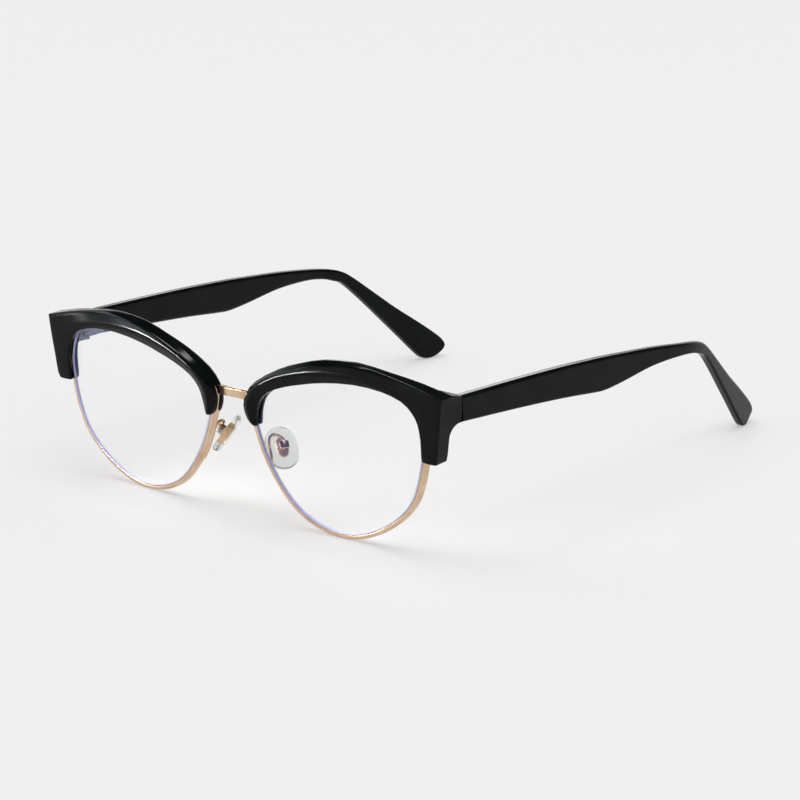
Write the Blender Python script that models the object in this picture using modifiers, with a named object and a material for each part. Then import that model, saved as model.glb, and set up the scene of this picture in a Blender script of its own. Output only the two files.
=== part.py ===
"""Browline eyeglasses with sculpted brows, full metal eyewires, rocking nose pads and folding temples.

The frame stands on its eyewires and temple tips: +Z up, the front looks along -Y, +X is the wearer's
left. Left-hand pieces are modelled first, and the right-hand ones are their mirror images.
"""
import math

import bmesh
import bpy
from mathutils import Matrix, Vector

MM = 0.001

# Lenses and the rim plane
LENS_WIDTH = 55.4 * MM
LENS_HEIGHT = 40.8 * MM
LENS_THICKNESS = 1.6 * MM
LENS_CURVE_RADIUS = 250.0 * MM
LENS_EDGE_WIDTH = 0.9 * MM
BRIDGE_GAP = 13.0 * MM
END_WIDTH = 7.1 * MM
WRAP_ANGLE = math.radians(3.1)
TILT_ANGLE = math.radians(1.7)
RIM_SEGMENTS = 56

# Eyewires
WIRE_HEIGHT = 1.1 * MM
WIRE_DEPTH = 1.9 * MM
WIRE_CHAMFER = 0.25 * MM
WIRE_GROOVE_WIDTH = 1.3 * MM
WIRE_GROOVE_DEPTH = 0.55 * MM
WIRE_SPLIT = 0.3 * MM
WIRE_SHOWING = 1.1 * MM

# Clearances and the overrun of every cut
SEAT_GAP = 0.3 * MM
BRAZE_GAP = 0.12 * MM
RUNNING_GAP = 0.15 * MM
OVERRUN = 2.0 * MM
MERGE_GAP = SEAT_GAP / 100

# Brows
BROW_HEIGHT = 6.6 * MM
BROW_FRONT_DEPTH = 2.8 * MM
BROW_REAR_DEPTH = 2.7 * MM
BROW_EDGE_ROUND = 0.4 * MM
MITRE_DEPTH = 8.0 * MM
END_HEIGHT = 6.7 * MM
END_INNER_WIDTH = 1.6 * MM
LOBE_REAR_DEPTH = 4.1 * MM
LOBE_ARC_RADIUS = 3.4 * MM
LOBE_ARC_POINTS = 7
BROW_SECTION_POINTS = 7

# Rim locks and their screws
LOCK_WIDTH = 2.3 * MM
LOCK_DEPTH = 1.9 * MM
LOCK_UPPER_HEIGHT = 1.9 * MM
LOCK_LOWER_HEIGHT = 4.6 * MM
LOCK_SPLIT_RISE = 9.8 * MM
LOCK_SCREW_RADIUS = 0.5 * MM
LOCK_SCREW_LENGTH = 3.6 * MM
LOCK_HEAD_RADIUS = 0.9 * MM
LOCK_HEAD_HEIGHT = 0.8 * MM
BROW_SCREW_RADIUS = 0.5 * MM
BROW_SCREW_DROP = 3.4 * MM
BROW_HEAD_RADIUS = 1.0 * MM
BROW_HEAD_HEIGHT = 0.7 * MM

# Bridge
BRIDGE_HEIGHT = 2.3 * MM
BRIDGE_DEPTH = 1.5 * MM
BRIDGE_BOW = 1.1 * MM
BRIDGE_RISE = 0.5 * MM
BRIDGE_LEVEL = 10.75 * MM
BRIDGE_CORNER = 0.3 * MM
BRIDGE_POINTS = 16

# Temples
TEMPLE_LENGTH = 141.7 * MM
TEMPLE_THICKNESS = 3.4 * MM
TEMPLE_TIP_THICKNESS = 2.8 * MM
TEMPLE_CHAMFER = 0.8 * MM
TEMPLE_OUTSET = 0.8 * MM
TOE_START = 100.4 * MM
TOE_ANGLE = math.radians(15.3)
MITRE_GAP = 0.3 * MM
CORE_RADIUS = 0.55 * MM
CORE_LENGTH = 118.0 * MM
CORE_SAMPLES = 60
CORE_STRIDE = 4
CORE_SIDES = 8

# Temple hinges
HINGE_INSET = 1.5 * MM
BARREL_RADIUS = 1.25 * MM
BARREL_HEIGHT = 1.0 * MM
BARREL_COUNT = 5
HINGE_SCREW_RADIUS = 0.6 * MM
HINGE_HEAD_RADIUS = 1.1 * MM
HINGE_HEAD_HEIGHT = 0.5 * MM
LEAF_THICKNESS = 0.8 * MM
FRONT_LEAF_LENGTH = 2.2 * MM
TEMPLE_LEAF_LENGTH = 6.0 * MM
PRONG_RADIUS = 0.45 * MM
PRONG_LENGTH = 0.6 * MM
PRONG_SPACING = 3.6 * MM
BARREL_SIDES = 20
FRONT_BARRELS = (0, 2, 4)
TEMPLE_BARRELS = (1, 3)

# Nose pads and their arms
PAD_LENGTH = 11.4 * MM
PAD_WIDTH = 8.6 * MM
PAD_THICKNESS = 2.1 * MM
PAD_LIFT = 0.75 * MM
PAD_SPLAY_ANGLE = math.radians(36.0)
PAD_FRONTAL_ANGLE = math.radians(26.0)
PAD_SIDES = 20
MOUNT_OFFSET = 11.4 * MM
MOUNT_SETBACK = 4.8 * MM
MOUNT_LEVEL = 19.0 * MM
BOX_LENGTH = 2.0 * MM
BOX_WIDTH = 2.5 * MM
BOX_THICKNESS = 1.6 * MM
BOX_WALL = 0.55 * MM
INSERT_LENGTH = 5.4 * MM
INSERT_WIDTH = 3.2 * MM
INSERT_THICKNESS = 0.6 * MM
INSERT_INSET = 0.3 * MM
TAB_THICKNESS = 0.9 * MM
TAB_LENGTH = 1.5 * MM
PAD_SCREW_RADIUS = 0.35 * MM
PAD_HEAD_RADIUS = 0.7 * MM
PAD_HEAD_HEIGHT = 0.35 * MM
ARM_RADIUS = 0.45 * MM
ARM_STEPS = 3
SCREW_SIDES = 12

# Lens rings inside the edge: shares of the outline
LENS_RING_SHARES = (0.36, 0.72)

# Nose pad rings, from the mount outwards: shares of the full width and of the thickness
PAD_RING_SHARES = ((0.74, 0.0), (0.94, 0.14), (1.0, 0.42), (0.95, 0.74), (0.72, 1.0))

# Depth of the temple's eased corners as a share of their height
TEMPLE_CORNER_SHARE = 0.6

# Lens outline, from the temporal side over the top to the nose: shares of the half width and height
LENS_OUTLINE_SHARES = (
    (1.000, 0.300),
    (0.975, 0.640),
    (0.865, 0.868),
    (0.560, 0.985),
    (0.080, 0.995),
    (-0.430, 0.890),
    (-0.820, 0.740),
    (-0.990, 0.520),
    (-0.965, 0.250),
    (-0.800, -0.290),
    (-0.510, -0.765),
    (-0.150, -0.975),
    (0.210, -0.965),
    (0.590, -0.730),
    (0.870, -0.340),
)

# Brow stations from the nasal tip to the temporal foot. Inner edge: shares of the lens half sizes.
# Outer edge, from the inner one: shares of END_WIDTH and BROW_HEIGHT. The lower and upper creases and
# the back's step lie at shares of the way from the inner to the outer edge.
BROW_STATION_SHARES = (
    (-0.915, 0.196, -0.190, -0.012, 0.40, 0.72, 0.80),
    (-0.913, 0.232, -0.365, 0.010, 0.43, 0.71, 0.80),
    (-0.910, 0.305, -0.510, 0.058, 0.46, 0.71, 0.80),
    (-0.895, 0.407, -0.620, 0.116, 0.52, 0.67, 0.80),
    (-0.852, 0.544, -0.668, 0.168, 0.55, 0.68, 0.78),
    (-0.744, 0.676, -0.622, 0.322, 0.55, 0.70, 0.74),
    (-0.549, 0.784, -0.400, 0.590, 0.50, 0.71, 0.66),
    (-0.332, 0.863, -0.225, 0.755, 0.42, 0.72, 0.60),
    (-0.079, 0.936, -0.072, 0.850, 0.34, 0.80, 0.60),
    (0.264, 0.985, 0.035, 0.819, 0.28, 0.84, 0.60),
    (0.581, 0.966, 0.200, 0.690, 0.28, 0.86, 0.62),
    (0.798, 0.892, 0.600, 0.670, 0.28, 0.86, 0.72),
    (0.913, 0.779, 1.338, 0.697, 0.30, 0.84, 0.41),
    (0.975, 0.642, 0.986, 0.212, 0.30, 0.80, 0.32),
    (1.000, 0.441, 0.775, 0.045, 0.30, 0.80, 0.27),
    (1.000, 0.240, 0.690, 0.000, 0.30, 0.80, 0.31),
    (1.004, 0.167, 0.606, -0.015, 0.30, 0.80, 0.33),
)
# Depths ahead of the rim plane at the inner edge, both creases and the outer edge, as shares of
# BROW_FRONT_DEPTH, and behind it at the outer edge and at the back, as shares of BROW_REAR_DEPTH
BROW_DEPTH_SHARES = (
    (0.56, 0.72, 0.66, 0.50, 0.48, 0.72),
    (0.68, 0.88, 0.78, 0.60, 0.50, 0.78),
    (0.74, 0.97, 0.85, 0.66, 0.52, 0.81),
    (0.78, 1.04, 0.90, 0.70, 0.52, 0.82),
    (0.78, 1.08, 0.87, 0.68, 0.50, 0.84),
    (0.78, 1.12, 0.80, 0.54, 0.38, 0.90),
    (0.77, 1.08, 0.74, 0.34, 0.22, 0.96),
    (0.75, 1.06, 0.69, 0.24, 0.06, 1.00),
    (0.73, 1.06, 0.62, 0.25, 0.08, 1.00),
    (0.72, 0.98, 0.56, 0.36, 0.12, 1.00),
    (0.72, 0.88, 0.58, 0.47, 0.30, 1.00),
    (0.72, 0.80, 0.66, 0.58, 0.72, 1.00),
    (0.72, 0.77, 0.71, 0.66, 1.00, 1.00),
    (0.72, 0.75, 0.74, 0.70, 1.00, 1.00),
    (0.72, 0.75, 0.74, 0.70, 1.00, 1.00),
    (0.72, 0.75, 0.74, 0.70, 1.00, 1.00),
    (0.60, 0.68, 0.68, 0.58, 0.95, 0.95),
)
BROW_CORNER_STATION = 12
# The temple's top at the mitre, above the corner station's inner edge: share of BROW_HEIGHT
TEMPLE_RISE_SHARE = 0.532
BROW_STEPS = 2

# Temple stations: upper and lower edge, each as shares of TEMPLE_LENGTH and TEMPLE_HEIGHT
TEMPLE_STATION_SHARES = (
    (0.0575, 0.998, 0.0577, 0.835),
    (0.2097, 0.976, 0.2074, 0.794),
    (0.3363, 0.952, 0.3322, 0.753),
    (0.4208, 0.930, 0.4147, 0.718),
    (0.4621, 0.918, 0.4518, 0.707),
    (0.5168, 0.898, 0.5046, 0.720),
    (0.6001, 0.866, 0.5891, 0.751),
    (0.6844, 0.823, 0.6684, 0.750),
    (0.7354, 0.791, 0.7160, 0.731),
    (0.7660, 0.755, 0.7440, 0.701),
    (0.7924, 0.693, 0.7692, 0.661),
    (0.8345, 0.572, 0.8094, 0.525),
    (0.8863, 0.423, 0.8564, 0.348),
    (0.9399, 0.282, 0.9025, 0.173),
    (0.9765, 0.180, 0.9303, 0.066),
    (0.9939, 0.122, 0.9467, 0.013),
    (1.0000, 0.074, 0.9627, 0.000),
    (0.9937, 0.038, 0.9795, 0.005),
)
TIP_STATION_SHARE = 0.92

# Gooseneck of a pad arm, between its foot on the eyewire and the box: shares of the mount's offset
# from the middle, its setback and its level
ARM_LOOP_SHARES = (
    (0.991, 0.115, 0.889),
    (0.930, 0.177, 0.984),
    (0.886, 0.208, 1.074),
    (0.860, 0.333, 1.137),
    (0.855, 0.604, 1.163),
    (0.868, 0.854, 1.142),
)
# Where along the rim lock's height its inner side is set against the eyewire
LOCK_SPAN_SHARES = (0.0, 0.25, 0.5, 0.75, 1.0)
ARM_FOOT_LEVELS = (-9.5 * MM, -8.0 * MM, -6.5 * MM)

BLACK_ACETATE = ((0.006, 0.007, 0.008), 0.12, 0.0)
ROSE_GOLD = ((0.70, 0.45, 0.30), 0.22, 1.0)
CLEAR_LENS = ((0.80, 0.82, 0.95), 0.03, 0.0)
CLEAR_PAD = ((0.78, 0.80, 0.76), 0.20, 0.0)
GOLD_INSERT = ((0.72, 0.46, 0.22), 0.28, 1.0)
STEEL = ((0.55, 0.54, 0.52), 0.30, 1.0)

LENS_HALF = Vector((LENS_WIDTH / 2, LENS_HEIGHT / 2))
RIM_OFFSET = BRIDGE_GAP / 2 + LENS_WIDTH / 2
RIM_LEVEL = LENS_HEIGHT / 2 + WIRE_HEIGHT
RIM_SETBACK = BROW_FRONT_DEPTH * BROW_DEPTH_SHARES[BROW_CORNER_STATION][3]
FRONT_HALF = RIM_OFFSET + LENS_WIDTH / 2 + END_WIDTH
TEMPLE_OUTER = FRONT_HALF - TEMPLE_OUTSET
TEMPLE_INNER = TEMPLE_OUTER - TEMPLE_THICKNESS
HINGE_X = TEMPLE_INNER - HINGE_INSET
HINGE_Y = MITRE_DEPTH + MITRE_GAP / 2
CORNER_LEVEL = RIM_LEVEL + LENS_HALF.y * BROW_STATION_SHARES[BROW_CORNER_STATION][1]
TEMPLE_HEIGHT = CORNER_LEVEL + BROW_HEIGHT * TEMPLE_RISE_SHARE
END_TOP = TEMPLE_HEIGHT
END_BOTTOM = END_TOP - END_HEIGHT
HINGE_Z = (END_TOP + END_BOTTOM - HINGE_HEAD_HEIGHT * 2) / 2
BARREL_PITCH = BARREL_HEIGHT + RUNNING_GAP
BARREL_STACK = BARREL_COUNT * BARREL_PITCH - RUNNING_GAP
END_INNER = RIM_OFFSET + LENS_WIDTH / 2 + END_INNER_WIDTH


def rim_matrix():
    """Left rim plane: local x outwards, y up and z forwards, wrapped and tilted about its centre."""
    setback = END_WIDTH * math.sin(WRAP_ANGLE) + LENS_WIDTH / 2 * math.sin(WRAP_ANGLE)
    place = Matrix.Translation((RIM_OFFSET, RIM_SETBACK - setback, RIM_LEVEL))
    wrap = Matrix.Rotation(WRAP_ANGLE, 4, "Z")
    tilt = Matrix.Rotation(math.pi / 2 + TILT_ANGLE, 4, "X")
    return place @ wrap @ tilt


def clear_scene():
    for item in list(bpy.data.objects):
        bpy.data.objects.remove(item)


def make_collection(name):
    collection = bpy.data.collections.new(name)
    bpy.context.scene.collection.children.link(collection)
    return collection


def make_material(name, look):
    colour, roughness, metallic = look
    material = bpy.data.materials.new(name)
    material.use_nodes = True
    shader = material.node_tree.nodes["Principled BSDF"]
    shader.inputs["Base Color"].default_value = (*colour, 1.0)
    shader.inputs["Roughness"].default_value = roughness
    shader.inputs["Metallic"].default_value = metallic
    material.diffuse_color = (*colour, 1.0)
    return material


def add_object(name, data, matrix=None):
    item = bpy.data.objects.new(name, data)
    PARTS.objects.link(item)
    if matrix is not None:
        item.matrix_world = matrix
    return item


def add_mesh(name, mesh_builder, matrix=None):
    mesh = bpy.data.meshes.new(name)
    mesh_builder.to_mesh(mesh)
    mesh_builder.free()
    return add_object(name, mesh, matrix)


def box(name, low, high, matrix=None):
    """A box between two corners."""
    low, high = Vector(low), Vector(high)
    builder = bmesh.new()
    size = Matrix.Diagonal((*(high - low), 1.0))
    bmesh.ops.create_cube(builder, size=1.0, matrix=Matrix.Translation((low + high) / 2) @ size)
    return add_mesh(name, builder, matrix)


def cylinder(name, radius, start, end, sides=SCREW_SIDES, matrix=None):
    """A cylinder between the centres of its two ends."""
    start, end = Vector(start), Vector(end)
    builder = bmesh.new()
    bmesh.ops.create_cone(
        builder, cap_ends=True, segments=sides, radius1=radius, radius2=radius,
        depth=(end - start).length)
    turn = (end - start).to_track_quat("Z", "Y").to_matrix().to_4x4()
    builder.transform(Matrix.Translation((start + end) / 2) @ turn)
    return add_mesh(name, builder, matrix)


def headed_screw(name, radii, tip, seat, head_height, sides=SCREW_SIDES, matrix=None):
    """A screw's shank from its tip to the seat, and its head beyond that."""
    tip, seat = Vector(tip), Vector(seat)
    along = (seat - tip).normalized()
    shank = cylinder(name, radii[0], tip, seat + along * head_height / 2, sides, matrix)
    head = cylinder(name + "_head", radii[1], seat, seat + along * head_height, sides, matrix)
    return combine(shank, head, "UNION")


def loft(name, rings, matrix=None):
    """One closed body through rings of equally many points, with flat ends."""
    builder = bmesh.new()
    loops = [[builder.verts.new(point) for point in ring] for ring in rings]
    count = len(rings[0])
    for lower, upper in zip(loops, loops[1:]):
        for i in range(count):
            j = (i + 1) % count
            builder.faces.new((lower[i], lower[j], upper[j], upper[i]))
    builder.faces.new(loops[0])
    builder.faces.new(loops[-1])
    bmesh.ops.recalc_face_normals(builder, faces=builder.faces)
    return add_mesh(name, builder, matrix)


def combine(target, tool, operation="DIFFERENCE"):
    """Joins or cuts the target with a tool, which then leaves the model or becomes a guide."""
    modifier = target.modifiers.new(operation.lower(), "BOOLEAN")
    modifier.operation = operation
    modifier.object = tool
    PARTS.objects.unlink(tool)
    TOOLS.objects.link(tool)
    tool.hide_render = True
    tool.display_type = "WIRE"
    return target


def round_edges(target, width, angle=math.radians(35)):
    modifier = target.modifiers.new("rounding", "BEVEL")
    modifier.width = width
    modifier.segments = 1
    modifier.limit_method = "ANGLE"
    modifier.angle_limit = angle
    return target


def curve_mesh(item):
    """The closed mesh of a curve object, which it replaces."""
    bpy.context.view_layer.update()
    graph = bpy.context.evaluated_depsgraph_get()
    mesh = bpy.data.meshes.new_from_object(item.evaluated_get(graph))
    builder = bmesh.new()
    builder.from_mesh(mesh)
    bmesh.ops.remove_doubles(builder, verts=builder.verts, dist=MERGE_GAP)
    bmesh.ops.recalc_face_normals(builder, faces=builder.faces)
    builder.to_mesh(mesh)
    builder.free()
    name, matrix = item.name, item.matrix_world.copy()
    bpy.data.objects.remove(item)
    return add_object(name, mesh, matrix)


def tube(name, points, radius, sides=CORE_SIDES):
    """A round wire along points, with flat ends."""
    curve = bpy.data.curves.new(name, "CURVE")
    curve.dimensions = "3D"
    curve.bevel_depth = radius
    curve.bevel_resolution = sides // 2 - 2
    curve.use_fill_caps = True
    spline = curve.splines.new("POLY")
    spline.points.add(len(points) - 1)
    for knot, point in zip(spline.points, points):
        knot.co = (*point, 1.0)
    return curve_mesh(add_object(name, curve))


def sweep(name, path, profile, closed, matrix=None):
    """A flat profile (x to the path's right hand, y up) carried along a path."""
    outline = bpy.data.curves.new(name + "_profile", "CURVE")
    outline.dimensions = "2D"
    spline = outline.splines.new("POLY")
    spline.points.add(len(profile) - 1)
    for knot, point in zip(spline.points, profile):
        knot.co = (*point, 0, 1.0)
    spline.use_cyclic_u = True
    guide = add_object(name + "_profile", outline)
    curve = bpy.data.curves.new(name, "CURVE")
    curve.dimensions = "3D"
    curve.twist_mode = "Z_UP"
    curve.bevel_mode = "OBJECT"
    curve.bevel_object = guide
    curve.use_fill_caps = True
    spline = curve.splines.new("POLY")
    spline.points.add(len(path) - 1)
    for knot, point in zip(spline.points, path):
        knot.co = (*point, 1.0)
    spline.use_cyclic_u = closed
    swept = curve_mesh(add_object(name, curve, matrix))
    bpy.data.objects.remove(guide)
    return swept


def prism(name, outline, low, high):
    """A side outline of (y, z) points carried along x from low to high."""
    curve = bpy.data.curves.new(name, "CURVE")
    curve.dimensions = "2D"
    curve.fill_mode = "BOTH"
    curve.extrude = (high - low) / 2
    spline = curve.splines.new("POLY")
    spline.points.add(len(outline) - 1)
    for knot, point in zip(spline.points, outline):
        knot.co = (*point, 0, 1.0)
    spline.use_cyclic_u = True
    turn = Matrix(((0, 0, 1, (low + high) / 2), (1, 0, 0, 0), (0, 1, 0, 0), (0, 0, 0, 1)))
    return curve_mesh(add_object(name, curve, turn))


def blend(before, start, end, after, share):
    """A smooth step from start to end, whose direction follows the points before and after."""
    square, cube = share * share, share ** 3
    weights = (
        (2 * square - cube - share) / 2, (3 * cube - 5 * square + 2) / 2,
        (share + 4 * square - 3 * cube) / 2, (cube - square) / 2)
    return sum((weight * Vector(row) for weight, row in zip(weights, (before, start, end, after))),
               Vector(start) * 0)


def smooth_rows(rows, steps, closed=False):
    """Rows of values with steps smooth intervals between each two."""
    count = len(rows)
    result = []
    for i in range(count if closed else count - 1):
        if closed:
            near = [rows[(i + k) % count] for k in (-1, 0, 1, 2)]
        else:
            near = [rows[min(max(i + k, 0), count - 1)] for k in (-1, 0, 1, 2)]
        result += [blend(*near, step / steps) for step in range(steps)]
    return result if closed else result + [Vector(rows[-1])]


def lens_path():
    """Evenly spaced points on the lens outline, anticlockwise as seen from the front."""
    knots = [(x * LENS_HALF.x, y * LENS_HALF.y) for x, y in LENS_OUTLINE_SHARES]
    fine = smooth_rows(knots, RIM_SEGMENTS, closed=True)
    spans = [(b - a).length for a, b in zip(fine, fine[1:] + fine[:1])]
    total, walked, path = sum(spans), 0, []
    for point, span in zip(fine, spans):
        if walked >= len(path) * total / RIM_SEGMENTS:
            path.append(point)
        walked += span
    return path[:RIM_SEGMENTS]


def rim_sag(x, y):
    """How far the curved lens lies ahead of the rim plane, measured so that its edge averages zero."""
    edge = (LENS_HALF.x + LENS_HALF.y) / 2
    return (edge * edge - x * x - y * y) / (2 * LENS_CURVE_RADIUS)


def offset_path(path, distance):
    """The path moved outwards by a distance."""
    moved = []
    for i, point in enumerate(path):
        along = path[(i + 1) % len(path)] - path[i - 1]
        moved.append(point + Vector((along.y, -along.x)).normalized() * distance)
    return moved


def on_rim(points, depth=0.0):
    return [Vector((p.x, p.y, rim_sag(p.x, p.y) + depth)) for p in points]


def rim_place(x, y, z=0.0):
    """A place in the left rim's own frame, in the part's frame."""
    return rim_matrix() @ Vector((x, y, z))


def outline_at(level, side, distance=0.0):
    """Where the lens outline, moved outwards by a distance, passes a level on side 1 or -1."""
    path = [p for p in offset_path(lens_path(), distance) if p.x * side > 0]
    above = min((p for p in path if p.y >= level), key=lambda p: p.y)
    below = max((p for p in path if p.y < level), key=lambda p: p.y)
    return below.lerp(above, (level - below.y) / (above.y - below.y)).x


def lock_levels():
    """The lower and upper end of the rim lock, and its inner side, clear of the eyewire over its span."""
    low = LOCK_SPLIT_RISE - LOCK_LOWER_HEIGHT - WIRE_SPLIT / 2
    high = LOCK_SPLIT_RISE + LOCK_UPPER_HEIGHT + WIRE_SPLIT / 2
    widest = max(outline_at(low + (high - low) * share, 1, WIRE_HEIGHT) for share in LOCK_SPAN_SHARES)
    return low, high, widest + BRAZE_GAP


def build_eyewire():
    groove, depth = WIRE_GROOVE_WIDTH / 2, WIRE_DEPTH / 2
    profile = (
        (0, depth), (WIRE_HEIGHT - WIRE_CHAMFER, depth), (WIRE_HEIGHT, depth - WIRE_CHAMFER),
        (WIRE_HEIGHT, WIRE_CHAMFER - depth), (WIRE_HEIGHT - WIRE_CHAMFER, -depth), (0, -depth),
        (0, -groove), (WIRE_GROOVE_DEPTH, 0), (0, groove))
    wire = sweep("eyewire_left", on_rim(lens_path()), profile, True, rim_matrix())
    edge = outline_at(LOCK_SPLIT_RISE, 1, WIRE_HEIGHT)
    split = box(
        "eyewire_split", (edge - OVERRUN, LOCK_SPLIT_RISE - WIRE_SPLIT / 2, -WIRE_DEPTH),
        (edge + OVERRUN, LOCK_SPLIT_RISE + WIRE_SPLIT / 2, WIRE_DEPTH), rim_matrix())
    return combine(wire, split)


def build_lens():
    """A bent disc whose bevelled edge enters the eyewire's groove."""
    path = lens_path()
    half, bevel, apex = LENS_THICKNESS / 2, LENS_EDGE_WIDTH / 2, WIRE_GROOVE_DEPTH - SEAT_GAP
    seat = offset_path(path, -SEAT_GAP)
    rings = [
        on_rim([p * share for p in seat], half) for share in LENS_RING_SHARES]
    rings += [on_rim(seat, half), on_rim(seat, bevel)]
    rings += [on_rim(offset_path(path, apex), 0)]
    rings += [on_rim(seat, -bevel), on_rim(seat, -half)]
    rings += [on_rim([p * share for p in seat], -half) for share in reversed(LENS_RING_SHARES)]
    return loft("lens_left", rings, rim_matrix())


def brow_stations():
    """Inner and outer edge points, crease and step shares and depths of every brow section."""
    rows = []
    for (ix, iy, ox, oy, *marks), depths in zip(BROW_STATION_SHARES, BROW_DEPTH_SHARES):
        inner = (ix * LENS_HALF.x, iy * LENS_HALF.y)
        outer = (inner[0] + ox * END_WIDTH, inner[1] + oy * BROW_HEIGHT)
        rows.append((*inner, *outer, *marks, *depths))
    whole = smooth_rows(rows, BROW_STEPS)
    corner = BROW_CORNER_STATION
    parts = smooth_rows(rows[:corner + 1], BROW_STEPS)[:-1] + smooth_rows(rows[corner:], BROW_STEPS)
    for row, part in zip(whole, parts):
        row[2:4] = part[2:4]
    return whole


def brow_ring(row):
    """The section's corners: inner back and front, two creases, outer front and back, and the step."""
    inner, outer = Vector(row[0:2]), Vector(row[2:4])
    lower, upper, step = row[4:7]
    ahead = [share * BROW_FRONT_DEPTH for share in row[7:11]]
    edge, back = (-share * BROW_REAR_DEPTH for share in row[11:13])
    places = (
        (0, back), (0, ahead[0]), (lower, ahead[1]), (upper, ahead[2]), (1, ahead[3]), (1, edge),
        (step, back))
    return [Vector((*inner.lerp(outer, share), depth)) for share, depth in places]


def extend_end_piece(builder, matrix):
    """Draws the back of the temporal stations out behind the mitre."""
    first = BROW_STEPS * (BROW_CORNER_STATION - 1) + 1
    size, last = BROW_SECTION_POINTS, BROW_SECTION_POINTS - 1
    builder.verts.ensure_lookup_table()
    strip = []
    for ring in range(first, len(builder.verts) // size - 1):
        wanted = {ring * size + k for k in (last - 1, last, size + last - 1, size + last)}
        strip += [face for face in builder.faces if {v.index for v in face.verts} == wanted]
    drawn = bmesh.ops.extrude_face_region(builder, geom=strip)
    bmesh.ops.delete(builder, geom=strip, context="FACES")
    to_local = matrix.inverted()
    for vert in (v for v in drawn["geom"] if isinstance(v, bmesh.types.BMVert)):
        place = matrix @ vert.co
        inside = max(min(place.x, TEMPLE_OUTER), END_INNER)
        target = Vector((inside, MITRE_DEPTH, min(place.z, END_TOP)))
        beyond = 1 + OVERRUN / (MITRE_DEPTH - place.y)
        vert.co = to_local @ place.lerp(target, beyond)
    bmesh.ops.recalc_face_normals(builder, faces=builder.faces)


def end_underside():
    """The space below the end piece and behind the lobe, with its concave corner."""
    corner_y, corner_z = LOBE_REAR_DEPTH + LOBE_ARC_RADIUS, END_BOTTOM - LOBE_ARC_RADIUS
    arc = []
    for i in range(LOBE_ARC_POINTS):
        angle = math.pi / 2 * (1 + i / (LOBE_ARC_POINTS - 1))
        arc.append((
            corner_y + LOBE_ARC_RADIUS * math.cos(angle), corner_z + LOBE_ARC_RADIUS * math.sin(angle)))
    far = MITRE_DEPTH + OVERRUN * 2
    low = RIM_LEVEL - OVERRUN
    outline = [(far, END_BOTTOM), *arc, (LOBE_REAR_DEPTH - SEAT_GAP, low), (far, low)]
    return prism("end_underside", outline, END_INNER - OVERRUN, FRONT_HALF + OVERRUN)


def wire_room(name, gap):
    """The eyewire's own space and everything a little way inside it, with a gap all round."""
    half = WIRE_DEPTH / 2 + gap
    inner, outer = -BROW_HEIGHT / 2, WIRE_HEIGHT + gap
    profile = ((inner, half), (outer, half), (outer, -half), (inner, -half))
    return sweep(name, on_rim(lens_path()), profile, True, rim_matrix())


def nasal_slots():
    """The slot that shows the eyewire on the nose side, and the mouth for the bridge's end in it."""
    far, near = -LENS_HALF.x - WIRE_HEIGHT - OVERRUN, -LENS_HALF.x
    gap = SEAT_GAP + RUNNING_GAP
    shown, room, tall = WIRE_SHOWING / 2, BRIDGE_DEPTH / 2 + gap, BRIDGE_HEIGHT / 2 + gap
    slot = box("nasal_slot", (far, 0, -shown), (near, BRIDGE_LEVEL, shown), rim_matrix())
    mouth = box(
        "bridge_mouth", (far, BRIDGE_LEVEL - tall, -room), (near, BRIDGE_LEVEL + tall, room), rim_matrix())
    return slot, mouth


def lock_pocket():
    low, high, side = lock_levels()
    half = LOCK_DEPTH / 2 + SEAT_GAP
    head_room = LOCK_HEAD_HEIGHT + RUNNING_GAP + SEAT_GAP
    return box(
        "lock_pocket", (side - WIRE_HEIGHT, low - SEAT_GAP, -half),
        (side + LOCK_WIDTH + SEAT_GAP, high + head_room, half), rim_matrix())


def brow_screw_place():
    """Axis of the brow screw in the rim's frame."""
    return lock_levels()[2] + LOCK_WIDTH / 2, LOCK_SPLIT_RISE - BROW_SCREW_DROP


def brow_screw_hole():
    x, y = brow_screw_place()
    hole = cylinder(
        "brow_screw_hole", BROW_SCREW_RADIUS + RUNNING_GAP, (x, y, 0),
        (x, y, -BROW_REAR_DEPTH - OVERRUN), matrix=rim_matrix())
    sink = cylinder(
        "brow_screw_sink", BROW_HEAD_RADIUS + RUNNING_GAP, (x, y, -BROW_REAR_DEPTH),
        (x, y, -BROW_REAR_DEPTH - OVERRUN * 2), matrix=rim_matrix())
    return hole, sink


def barrel_level(index):
    return HINGE_Z - BARREL_STACK / 2 + index * BARREL_PITCH


def barrel_notch():
    """Room for the hinge's barrels in the end piece's inner back corner."""
    room = BARREL_RADIUS + SEAT_GAP
    reach = BARREL_STACK / 2 + HINGE_HEAD_HEIGHT + SEAT_GAP * 2
    return cylinder(
        "barrel_notch", room, (HINGE_X, HINGE_Y, HINGE_Z - reach), (HINGE_X, HINGE_Y, HINGE_Z + reach),
        BARREL_SIDES)


def leaf_seat():
    """A flat milled for the front leaf in the end piece's inner side."""
    end = HINGE_Y - BARREL_RADIUS - FRONT_LEAF_LENGTH - SEAT_GAP * 2
    reach = BARREL_STACK / 2 + SEAT_GAP
    return box("leaf_seat", (END_INNER - OVERRUN, end, HINGE_Z - reach),
               (END_INNER, MITRE_DEPTH + OVERRUN, HINGE_Z + reach))


def prong_places():
    """Levels of the two prongs that hold a hinge leaf."""
    return [HINGE_Z + side * PRONG_SPACING / 2 for side in (-1, 1)]


def prong_depth(direction):
    """Where a leaf's prongs stand, direction -1 for the front leaf and 1 for the temple leaf."""
    leaf = FRONT_LEAF_LENGTH if direction < 0 else TEMPLE_LEAF_LENGTH
    return HINGE_Y + direction * (BARREL_RADIUS + SEAT_GAP / 2 + leaf / 2)


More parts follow.
